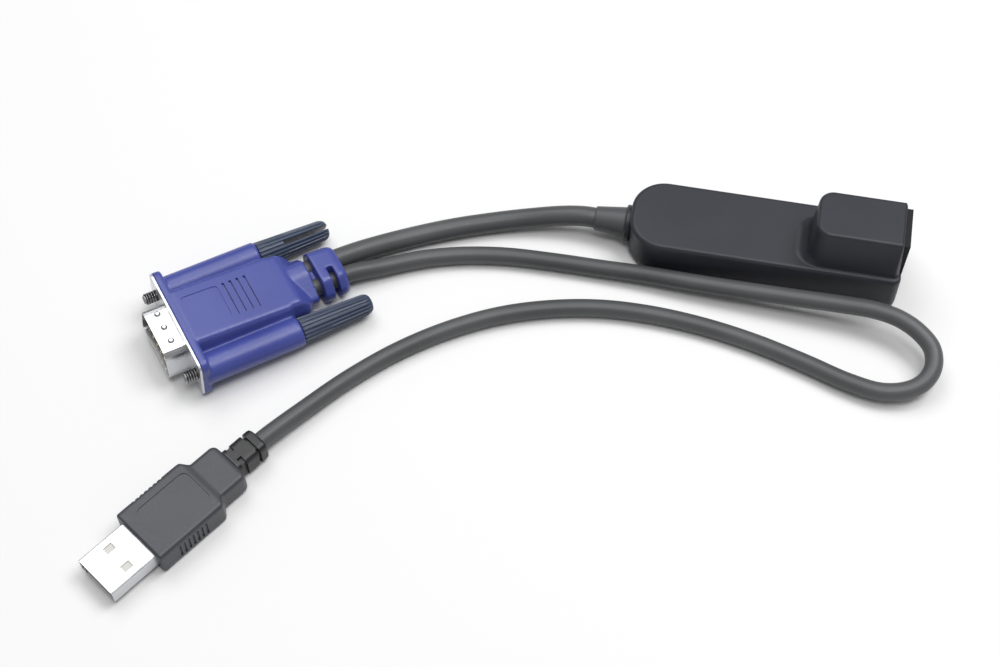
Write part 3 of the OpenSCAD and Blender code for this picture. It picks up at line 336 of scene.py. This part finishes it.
def painted_shade_behind(m, axes, origin, start, share):
    """Paints shade: scales the base colour by share where the place along a plug is behind start.
    """
    t = m.node_tree
    at = t.nodes.new("ShaderNodeTexCoord")
    along = t.nodes.new("ShaderNodeVectorMath")
    along.operation = "DOT_PRODUCT"
    along.inputs[1].default_value = axes[:, 0]
    t.links.new(at.outputs["Object"], along.inputs[0])
    step = t.nodes.new("ShaderNodeMapRange")
    limit = float(origin @ axes[:, 0] + start) * MM
    step.inputs["From Min"].default_value = limit
    step.inputs["From Max"].default_value = limit + 0.3 * MM
    step.inputs["To Min"].default_value = share
    t.links.new(along.outputs["Value"], step.inputs["Value"])
    colour = t.nodes["Principled BSDF"].inputs["Base Color"]
    tone = t.nodes.new("ShaderNodeVectorMath")
    tone.operation = "SCALE"
    t.links.new(colour.links[0].from_socket, tone.inputs[0])
    t.links.new(step.outputs["Result"], tone.inputs["Scale"])
    t.links.new(tone.outputs["Vector"], colour)


# %% The finishes of this object
housing_grey = moulded("housing_grey", (0.0235, 0.0248, 0.0325), (0.0282, 0.0297, 0.0385), 0.42,
                       grain=2600, grain_height=0.25, gloss=0.32)
jacket_grey = moulded("jacket_grey", (0.060, 0.063, 0.065), (0.083, 0.086, 0.089), 0.42, grain=900,
                      grain_height=0.2, cloud=30, gloss=0.4)
sleeve_grey = moulded("sleeve_grey", (0.060, 0.063, 0.067), (0.070, 0.073, 0.078), 0.45, gloss=0.4)
hood_blue = moulded("hood_blue", (0.043, 0.058, 0.262), (0.052, 0.069, 0.29), 0.36,
                    grain=1300, grain_height=0.5, grain_depth=0.045, gloss=0.55)
thumb_slate = moulded("thumb_slate", (0.033, 0.048, 0.085), (0.040, 0.057, 0.100), 0.36,
                      grain=2200, grain_height=0.25)
insulator_blue = moulded("insulator_blue", (0.03, 0.045, 0.22), (0.035, 0.05, 0.24), 0.45)
grip_grey = moulded("grip_grey", (0.038, 0.040, 0.050), (0.045, 0.048, 0.059), 0.42)
# The USB plug's strain relief has its base colour scaled to 0.2 of the grip's: painted shade.
painted_shade_behind(grip_grey, USB_AXES, USB_AT, -28.1, 0.2)
jack_black = moulded("jack_black", (0.008, 0.008, 0.009), (0.012, 0.012, 0.013), 0.45, gloss=0.3)
epoxy_black = moulded("epoxy_black", (0.02, 0.02, 0.022), (0.03, 0.03, 0.032), 0.55)
nylon_white = moulded("nylon_white", (0.52, 0.51, 0.48), (0.58, 0.57, 0.54), 0.4)
clear_mould = moulded("clear_mould", (0.55, 0.55, 0.5), (0.6, 0.6, 0.55), 0.35)
ceramic_tan = moulded("ceramic_tan", (0.36, 0.27, 0.17), (0.42, 0.32, 0.2), 0.5, cloud=400)
board_green = moulded("board_green", (0.02, 0.12, 0.05), (0.03, 0.16, 0.07), 0.3, cloud=300)
nickel = plated("nickel", (0.62, 0.63, 0.65), 0.3)
shield_black = moulded("shield_black", (0.010, 0.010, 0.012), (0.013, 0.013, 0.015), 0.5, gloss=0.2)
zinc_steel = plated("zinc_steel", (0.62, 0.62, 0.64), 0.3, (200, 200, 2000))
screw_steel = threaded("screw_steel", 0.635, -3.1, (0.42, 0.42, 0.43))
gold_plate = plated("gold_plate", (0.83, 0.62, 0.25), 0.22)

finish_of = {
    "lower_cover": housing_grey, "sleeve_collar": housing_grey, "cable_sleeve": sleeve_grey,
    "cover_screws": zinc_steel, "main_board": board_green, "jack_board": board_green,
    "processor_chip": epoxy_black, "isolation_transformer": epoxy_black,
    "video_chips": epoxy_black, "board_header": epoxy_black, "crystal": nickel,
    "small_parts": ceramic_tan, "jack_housing": jack_black, "jack_shield": shield_black,
    "jack_contacts": gold_plate, "cable_core": jacket_grey, "cable_connector": nylon_white,
    "vga_front_shell": nickel, "vga_rear_shell": nickel, "vga_insulator": insulator_blue,
    "vga_pins": gold_plate, "vga_inner_mould": clear_mould, "vga_cable_cores": jacket_grey,
    "thumb_screw_far": screw_steel, "thumb_screw_near": screw_steel, "usb_shell": nickel,
    "usb_tongue": nylon_white, "usb_contacts": gold_plate, "usb_inner_mould": clear_mould,
    "usb_cable_core": jacket_grey}
for name, finish in finish_of.items():
    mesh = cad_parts[name].data
    mesh.materials.clear()
    mesh.materials.append(finish)
print("finished", len(finish_of), "nodes of the solid model")

# %% [markdown]
# ## The two cords
# Both cords are limp enough to lie on the table and stiff enough to hold wide bends.
# Each is a tube, whose length is worked out and printed.

# %% Video cable and USB lead
video_path, video_length = smooth_route(video_route)
lead_path, lead_length = smooth_route(lead_route)
video_cord = round_tube("video_cord", video_path, CABLE_D, jacket_grey)
lead_cord = round_tube("lead_cord", lead_path, LEAD_D, jacket_grey)
print("video cable", round(video_length, 1), "mm, lead", round(lead_length, 1), "mm")

# %% [markdown]
# ## Shapes shared by the housing and the plugs
# Two outlines make nearly everything: a rectangle whose corners are quarter ellipses,
# and a polygon whose corners are softened by parabolas. Both come as rings with a
# fixed number of points, so any two of them can be joined by a skin.

# %% Outlines
def plan_ring(box, radii, inset, z, n=14):
    """Rectangle box = (x0, x1, y0, y1) with plan radii (left, right). Each side moves
    in by inset = (left, right, side), and the corner centres stay where they are."""
    x0, x1, y0, y1 = box
    corners = [(x1 - radii[1], y1 - radii[1], radii[1] - inset[1], radii[1] - inset[2]),
               (x0 + radii[0], y1 - radii[0], radii[0] - inset[0], radii[0] - inset[2]),
               (x0 + radii[0], y0 + radii[0], radii[0] - inset[0], radii[0] - inset[2]),
               (x1 - radii[1], y0 + radii[1], radii[1] - inset[1], radii[1] - inset[2])]
    turn = np.linspace(0, math.pi / 2, n + 1)
    arcs = [np.stack([cx + rx * np.cos(turn + k * math.pi / 2),
                      cy + ry * np.sin(turn + k * math.pi / 2),
                      np.full(n + 1, z)], 1) for k, (cx, cy, rx, ry) in enumerate(corners)]
    return np.vstack(arcs)


def softened(polygon, reach, n=5):
    """Polygon whose corner c becomes the parabola from c - reach to c + reach."""
    c = np.asarray(polygon, float)
    reach = np.resize(np.asarray(reach, float), len(c))[:, None]
    back, ahead = np.roll(c, 1, 0) - c, np.roll(c, -1, 0) - c
    p = c + back / np.linalg.norm(back, axis=1, keepdims=True) * reach
    q = c + ahead / np.linalg.norm(ahead, axis=1, keepdims=True) * reach
    t = np.linspace(0, 1, n + 1)[None, :, None]
    curve = p[:, None] * (1 - t) ** 2 + 2 * c[:, None] * t * (1 - t) + q[:, None] * t ** 2
    return curve.reshape(-1, 2)


def cut(piece, *cutters, keep=False):
    """Takes the cutters out of the piece with exact booleans, or adds them."""
    for c in cutters:
        b = piece.modifiers.new("cut", "BOOLEAN")
        b.operation = "UNION" if keep else "DIFFERENCE"
        b.solver = "EXACT"
        b.object = c
        bpy.context.view_layer.update()
        done = bpy.data.meshes.new_from_object(
            piece.evaluated_get(bpy.context.evaluated_depsgraph_get()))
        piece.modifiers.clear()
        old, piece.data = piece.data, done
        bpy.data.meshes.remove(old)
        bpy.data.objects.remove(c)
    return piece


def block(name, x, y, z):
    """Box between the pairs x, y and z, used as a cutter."""
    ring = np.array([[x[1], y[0]], [x[1], y[1]], [x[0], y[1]], [x[0], y[0]]], float)
    return skin(name, [np.column_stack([ring, np.full(4, h)]) for h in z])


def finish_edges(piece, crease=30):
    """Smooth shading that keeps edges sharper than crease, with flat faces ruling the
    normals so that they stay flat up to their rounded edges."""
    piece.data.shade_smooth()
    piece.data.set_sharp_from_angle(angle=math.radians(crease))
    w = piece.modifiers.new("flat faces rule", "WEIGHTED_NORMAL")
    w.keep_sharp = True
    w.weight = 80
    return piece


# %% [markdown]
# ## The housing's upper shell
# The real shell is one moulding: a low box with a round nose at the cable end and a
# taller box at the jack end, all with a few degrees of draft so that it leaves its
# mould. Rings of the plan outline stacked in height give both, and an arc of rings
# gives each rounded edge. The port is cut last, because the jack stands in it.

# %% Upper shell
X0, X1 = -29.45, 38.35
HALF, LOW, TOP, SEAM = 10.2, 12.0, 24.6, 2.4
NOSE_R, END_R = 8.4, 2.0
draft = math.tan(math.radians(4))
end_draft = math.tan(math.radians(4.4))
side_draft = math.tan(math.radians(1))


def low_ring(z, nose, end, side):
    """Outline of the low part at height z, moved in by the three insets."""
    return plan_ring((X0, X1, -HALF, HALF), (NOSE_R, END_R), (nose, end, side), z)


def low_box():
    """Sides and end lean by 1 degree, and the top edge is a quarter circle of 1 mm."""
    rise = lambda z: (z - SEAM)
    rings = [low_ring(SEAM, 0.12, 0.12, 0.12), low_ring(SEAM + 0.15, 0, 0, 0)]
    for a in np.linspace(0, math.pi / 2, 9):
        z, f = LOW - 1 + math.sin(a), 1 - math.cos(a)
        rings.append(low_ring(z, 1.4 * f, side_draft * rise(z) + 0.6 * f, side_draft * rise(z) + f))
    return skin("housing_top", rings, housing_grey)


HUMP_X0, HUMP_Y = 14.66, (-8.78, 6.38)
HUMP_RADII = (4.4, 2.2)
RAMP_R, FOOT_R, TOP_R = 3, 0.45, 0.9     # left foot, long feet, top edge
PAST_END = 45                            # the port's cutter ends beyond the wall


def hump_ring(z, foot, f):
    """Outline of the raised end at height z. Foot widens its left wall, skirt its long
    walls, and f rounds the top edge."""
    h = min(max((z - LOW) / FOOT_R, 0), 1)
    skirt = FOOT_R * (1 - math.sqrt(1 - (1 - h) ** 2))
    return plan_ring((HUMP_X0, X1, *HUMP_Y), HUMP_RADII,
                     (draft * (z - LOW) - foot + f, end_draft * (z - SEAM) + f,
                      draft * (z - LOW) - skirt + f), z)


def tall_box():
    """The left wall runs out into the low part on a 3 mm arc, and the long walls on an
    arc of 0.45 mm."""
    rings = [hump_ring(LOW - 0.6, RAMP_R, 0)]
    rings += [hump_ring(LOW + RAMP_R * (1 - math.cos(a)), RAMP_R * (1 - math.sin(a)), 0)
              for a in np.linspace(0, math.pi / 2, 16)]
    rings += [hump_ring(TOP - TOP_R * (1 - math.sin(a)), 0, TOP_R * (1 - math.cos(a)))
              for a in np.linspace(0, math.pi / 2, 8)]
    return skin("tall_box", rings)


jack_lo, jack_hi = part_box("jack_shield")
housing_top = low_box()
cut(housing_top, tall_box(), keep=True)
cut(housing_top, block("port", (jack_lo.x / MM, PAST_END), (jack_lo.y / MM, jack_hi.y / MM),
                       (jack_lo.z / MM, jack_hi.z / MM)))
finish_edges(housing_top)
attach(housing_top, "module")
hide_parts("upper_shell")
print("housing_top", len(housing_top.data.polygons), "faces")

# %% [markdown]
# ## The blue hood
# The plug's hood is one soft moulding: a flange, a body that narrows to the back, a
# tube for each thumbscrew, and a strain relief cut into rings so that it can bend.
# The sections are polygons with softened corners, carried along the plug. A voxel
# remesh then fuses them, because a mould leaves a small fillet in every corner.

# %% Hood
U_HOOD, U_FLANGE, U_TUBE = -3.7, -5.9, -30.4
U_REAR, REAR_TOP = -36.4, -33.2      # foot and top of the leaning rear wall
SCREW_V = 12.495
REAR_HALF, HALF_BODY, HALF_TOP = 8.795, 9.3, 8.3
FLANGE_V, FLANGE_W = 15.7, 6.5
BOOT_L = 10.6
BORE_R = 1.47


def hood_top(u):
    """Half height, which falls evenly from 6.5 at the flange to 5 at the rear."""
    return 5 + 1.5 * (u - REAR_TOP) / (U_FLANGE - REAR_TOP)


def hood_ring(u, a, b, h, r=1.2, m=1.0):
    """Section with its widest half width a over the half height m, and a top from
    b[0] to b[1] at the half height h."""
    p = softened([[a, -m], [a, m], [b[1], h], [b[0], h],
                  [-a, m], [-a, -m], [b[0], -h], [b[1], -h]],
                 [0.6 * r, 0.6 * r, r, r] * 2)
    return np.column_stack([np.full(len(p), u), p])


def hood_body():
    """The rear wall leans forward. Its rings grow with the height that they reach."""
    rings = []
    for up, wide, high in ((0, 0.76, 0.26), (0.05, 0.84, 0.30), (0.12, 0.88, 0.36),
                           (0.35, 0.96, 0.54), (0.72, 1, 0.79), (0.95, 1, 0.94), (1.15, 1, 1)):
        top = HALF_TOP * wide * REAR_HALF / HALF_BODY
        rings.append(hood_ring(U_REAR + 3.2 * up, REAR_HALF * wide, (-top, top), 5 * high,
                               1.2 * high, high))
    for u, wide in ((U_TUBE - 0.46, REAR_HALF / HALF_BODY), (U_TUBE + 0.46, 1),
                    (U_FLANGE + 0.25, 1)):
        top = HALF_TOP * wide
        rings.append(hood_ring(u, HALF_BODY * wide, (-top, top), hood_top(u)))
    return from_video(np.array(rings))


def hood_flange():
    """Plate with rounded corners, whose rear edge is drawn in by e."""
    rings = []
    for u, e in ((U_FLANGE, 0.6), (U_FLANGE + 0.18, 0.18), (U_FLANGE + 0.6, 0), (U_HOOD, 0)):
        v, w = FLANGE_V - e, FLANGE_W - e
        p = softened([[v, -w], [v, w], [-v, w], [-v, -w]], 2.6 - e, 8)
        rings.append(np.column_stack([np.full(len(p), u), p]))
    return from_video(np.array(rings))


def lathe(axis_v, profile, sides=48, place=from_video, axis_w=0.0):
    """Revolves (u, radius) pairs about the line v = axis_v."""
    turn = np.linspace(0, 2 * math.pi, sides, endpoint=False)
    u, r = np.asarray(profile, float).T
    rings = np.stack([np.repeat(u[:, None], sides, 1),
                      axis_v + r[:, None] * np.cos(turn), axis_w + r[:, None] * np.sin(turn)], -1)
    return place(rings)


def box_rings(u, v, w, place=from_video):
    """Two rings of a box in a plug's own axes."""
    ring = np.array([[v[1], w[0]], [v[1], w[1]], [v[0], w[1]], [v[0], w[0]]], float)
    return place(np.array([np.column_stack([np.full(4, k), ring]) for k in u]))


def panel_rings(u, v, r, low, high, place=from_video):
    """Two rings of a rounded rectangle that lies on top of a plug."""
    p = softened([[u[1], v[0]], [u[1], v[1]], [u[0], v[1]], [u[0], v[0]]], r, 8)
    return place(np.array([np.column_stack([p, w(p[:, 0])]) for w in (low, high)]))


# %% Strain relief of the hood
def hood_boot():
    """A neck, a slot all round, and a block with a slot on each side. The slots go down
    to the two cables, and only narrow bridges and a core between the cables run on."""
    b = U_REAR - BOOT_L * np.array([0.20, 0.36, 0.94, 1])
    core = lambda u: hood_ring(u, 4.4, (-4.0, 3.4), 1.8, 0.8, 0.6)
    boot = skin("boot", from_video(np.array([
        hood_ring(b[3], 6.05, (-3.86, 3.86), 3.95), hood_ring(b[2], 6.77, (-4.32, 4.32), 4.34),
        hood_ring(b[2] + 0.8, 7.0, (-4.5, 4.5), 4.5),
        hood_ring(b[1], 7.2, (-4.6, 4.6), 4.7), core(b[1]), core(b[0]),
        hood_ring(b[0], 6.6, (-3.1, 0.1), 4.7), hood_ring(REAR_TOP, 6.6, (-3.1, 0.1), 4.7)])))
    slots = many("slots", [box_rings((-43.7, -42.2), (-9, -3.8), (-6, 6)),
                           box_rings((-44.3, -42.8), (1.0, 9), (-6, 6))])
    cut(slots, skin("core", from_video(np.array([core(-45.5), core(-41)]))))
    return cut(boot, slots)


hood = skin("hood", hood_body(), hood_blue)
parts = [skin("hood_part", hood_flange()), hood_boot()]
for s in (-1, 1):
    parts.append(skin("hood_part", lathe(s * SCREW_V, [
        (U_TUBE, 3.2), (U_TUBE + 0.15, 3.55), (U_TUBE + 0.5, 3.7), (U_FLANGE + 1, 3.7)])))
    parts.append(skin("hood_part", box_rings((U_TUBE + 0.6, U_FLANGE + 0.5),
                                             sorted((s * 8.2, s * 10.4)), (-2.4, 2.4))))
cut(hood, *parts, keep=True)
voxels = hood.modifiers.new("fuse", "REMESH")
voxels.mode = "VOXEL"
voxels.voxel_size = 0.27 * MM
voxels.use_smooth_shade = True
relax = hood.modifiers.new("relax", "SMOOTH")
relax.factor = 0.5
relax.iterations = 5
bpy.context.view_layer.update()
fused = bpy.data.meshes.new_from_object(hood.evaluated_get(bpy.context.evaluated_depsgraph_get()))
hood.modifiers.clear()
hood.data = fused
hood.data.materials.clear()
hood.data.materials.append(hood_blue)

# %% Grooves, label panel and screw bores of the hood
hollows = [box_rings((u - 0.3, u + 0.3), (-5, 5), (hood_top(u) - 0.6, hood_top(u) + 1))
           for u in U_FLANGE - 12 - 1.85 * np.arange(4)]
hollows.append(panel_rings((-16.4, -6.8), (-5, 5), 1.3, lambda u: hood_top(u) - 0.2,
                           lambda u: hood_top(u) + 0.6))
hollows += [lathe(s * SCREW_V, [(U_TUBE - 1, BORE_R), (U_HOOD + 1, BORE_R)]) for s in (-1, 1)]
cut(hood, many("hollows", hollows))
hood.data.shade_smooth()
hood.data.set_sharp_from_angle(angle=math.radians(50))
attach(hood, "module")
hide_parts("vga_hood")
print("hood", len(hood.data.polygons), "faces")

# %% [markdown]
# ## Thumbscrew grips
# Each grip is a tapered slate-blue barrel with fine flutes for the fingers and a long slot
# for a screwdriver. The radius is a function of the angle: a cosine pressed into a
# flat top gives flutes with soft edges. The slot is cut afterwards.

# %% Grips
GRIP_L, GRIP_DOME, FLUTES, FLUTE_DEEP = 19, 1.8, 18, 0.38
SLOT_L, SLOT_HALF = 12.3, 0.55


def grip(name, s, turn_deg):
    """The flutes are the cosine of 18 times the angle, cut off above and below. The
    slot's plane leans by turn_deg from upright."""
    u0 = U_TUBE - 0.1
    u1 = u0 - GRIP_L
    u = np.concatenate([u1 + np.array([0, 0, 0.05, 0.15, 0.32, 0.6, 1.0, 1.4]),
                        np.linspace(u1 + GRIP_DOME, u0 - 0.15, 14), [u0]])
    r = np.concatenate([[0.05, 1.3, 1.6, 1.82, 2.06, 2.3, 2.5, 2.62],
                        np.linspace(2.7, 3.35, 14), [3.2]])
    depth = np.concatenate([[0, 0, 0, 0, 0.03, 0.1, 0.2, 0.3], np.full(14, FLUTE_DEEP), [0.1]])
    a = np.linspace(0, 2 * math.pi, FLUTES * 12, endpoint=False)
    flute = np.clip(0.85 - 1.3 * np.cos(FLUTES * a), 0, 1)
    radius = r[:, None] - depth[:, None] * (1 - flute)[None, :]
    t = a + math.radians(turn_deg)
    rings = np.stack([np.repeat(u[:, None], len(a), 1), radius * np.cos(t), radius * np.sin(t)], -1)
    rings[..., 1] += s * SCREW_V
    piece = skin(name, from_video(rings), thumb_slate, 40)
    h = SLOT_HALF
    ring = np.array([[h, -4], [h, 4], [-h, 4], [-h, -4]], float)
    c, n = math.cos(math.radians(turn_deg)), math.sin(math.radians(turn_deg))
    ring = ring @ np.array([[c, n], [-n, c]]) + [s * SCREW_V, 0]
    cut(piece, skin("slot", from_video([np.column_stack([np.full(4, k), ring])
                                        for k in (u1 - 1, u1 + SLOT_L)])))
    finish_edges(piece, 40)
    return piece


for side, s, turn_deg in (("far", -1, -20), ("near", 1, 68)):
    piece = grip("grip_" + side, s, turn_deg)
    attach(piece, side + "_screw")
    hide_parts("thumb_grip_" + side)

# %% [markdown]
# ## The USB plug's grip
# A dark moulding holds the metal shell. It is wide in front, steps in to a narrower
# back and ends in a short strain relief, whose colour is darkened as painted shade. The sides carry
# a few grooves for the fingers, and a shallow panel is sunk into the top.

# %% USB grip
USB_WIDE, USB_BACK, USB_BOOT_L = -18.3, -27.7, 8.8
BOOT_HALF, BOOT_SLOT, BOOT_R = 3.4, 2.7, 1.9


def usb_ring(u, a, h, r=1.4):
    """Rounded section of half width a and half height h."""
    p = softened([[a, -h], [a, h], [-a, h], [-a, -h]], r, 7)
    return np.column_stack([np.full(len(p), u), p])


def usb_grip():
    """The waist is a half wave of the cosine between the wide and the narrow part."""
    wide, back, end = USB_WIDE, USB_BACK, USB_BACK - USB_BOOT_L
    b = back - USB_BOOT_L * np.array([0.12, 0.27, 0.65, 0.74])
    rings = [usb_ring(u, h, h, BOOT_R) for u, h in (
        (end, BOOT_SLOT), (end + 0.12, 3.0), (end + 0.44, 3.3), (end + 0.9, BOOT_HALF),
        (b[3], BOOT_HALF), (b[3], BOOT_SLOT), (b[2], BOOT_SLOT), (b[2], BOOT_HALF),
        (back, BOOT_HALF))]
    for x in (0, 0.04, 0.14, 0.3, 0.5, 0.74, 1):
        f = 0.75 * (1 - math.sqrt(1 - (1 - x) ** 2))
        rings.append(usb_ring(back + 1.6 * x, 5.9 - 1.6 * f, 3.6 - 0.8 * f))
    for x in np.linspace(0, 1, 13):
        f = (1 - math.cos(math.pi * x)) / 2
        rings.append(usb_ring(wide - 2.4 * (1 - x), 5.9 + 2.05 * f, 3.6 + 0.39 * f))
    rings += [usb_ring(wide + 0.6, 7.99, 4), usb_ring(wide + 1.4, 8, 4), usb_ring(-0.6, 8, 4),
              usb_ring(-0.3, 7.94, 3.94), usb_ring(-0.1, 7.8, 3.8, 1.3), usb_ring(0, 7.5, 3.5, 1)]
    return from_usb(np.array(rings))


usb_body = skin("usb_body", usb_grip(), grip_grey)
knob = (USB_BACK - USB_BOOT_L * 0.27, USB_BACK - USB_BOOT_L * 0.12)
hollows = [box_rings(knob, sorted((s * BOOT_SLOT, s * 5)), (-5, 5), from_usb) for s in (-1, 1)]
hollows += [box_rings(knob, v, w, from_usb) for v in ((-2.8, -1.1), (1.1, 2.8))
            for w in ((-5, -BOOT_SLOT), (BOOT_SLOT, 5))]
cut(usb_body, *[skin("slot", h) for h in hollows])
hollows = [box_rings((-5.7 - 1.3 * i, -5.1 - 1.3 * i), v, w, from_usb)
           for v, w in (((-8.4, -7.45), (-2.4, 4.4)), ((7.65, 8.4), (-2.4, 2.4)))
           for i in range(7)]
hollows.append(panel_rings((USB_WIDE, -3.3), (-5.2, 5.2), 2,
                           lambda u: np.full_like(u, 3.8), lambda u: np.full_like(u, 4.5),
                           from_usb))
cut(usb_body, many("hollows", hollows))
finish_edges(usb_body)
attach(usb_body, "module")
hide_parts("usb_overmould")

for piece, node_name in ((video_cord, "video_cable"), (lead_cord, "usb_lead")):
    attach(piece, "module")
    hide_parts(node_name)

# %% [markdown]
# ## Table and light
# The table is plain and pale. Two soft lamps stand high beyond the object and put soft
# shadows towards the viewer, as in the photo. A third one nearly overhead draws the
# light lines along the rounded edges and the cables. The world fills the shadows.

# %% Table, lamps and world
table = put_mesh("table", [[-3000, -3000, 0], [3000, -3000, 0], [3000, 3000, 0], [-3000, 3000, 0]],
                 [[0, 1, 2, 3]])
paper = bpy.data.materials.new("paper")
paper.use_nodes = True
tree = paper.node_tree
shader = tree.nodes["Principled BSDF"]
shader.inputs["Base Color"].default_value = (0.78, 0.78, 0.78, 1)
shader.inputs["Roughness"].default_value = 0.9
shader.inputs["Specular IOR Level"].default_value = 0.1
table.data.materials.append(paper)


LAMP_FAR = 1.2     # metres from the object to each lamp


def soft_lamp(name, towards, size, watts):
    """Square lamp that stands in the direction towards, aimed at the object."""
    lamp = bpy.data.objects.new(name, bpy.data.lights.new(name, "AREA"))
    bpy.context.scene.collection.objects.link(lamp)
    lamp.data.size = size
    lamp.data.energy = watts
    aim = Vector((-0.03, -0.03, 0.0))
    direction = Vector(towards).normalized()
    lamp.location = aim + direction * LAMP_FAR
    lamp.rotation_euler = direction.to_track_quat("Z", "Y").to_euler()
    return lamp


soft_lamp("key_lamp", (0.36, 0.24, 0.90), 0.6, 8)
soft_lamp("top_lamp", (-0.30, 0.33, 0.89), 0.7, 5.4)
soft_lamp("front_lamp", (0.08, -0.22, 0.97), 0.35, 4.2)
world = bpy.data.worlds.new("studio")
bpy.context.scene.world = world
world.use_nodes = True
backdrop = world.node_tree.nodes["Background"]
backdrop.inputs["Color"].default_value = (1, 1, 1, 1)
backdrop.inputs["Strength"].default_value = 0.25
bpy.context.scene.view_settings.view_transform = "Standard"
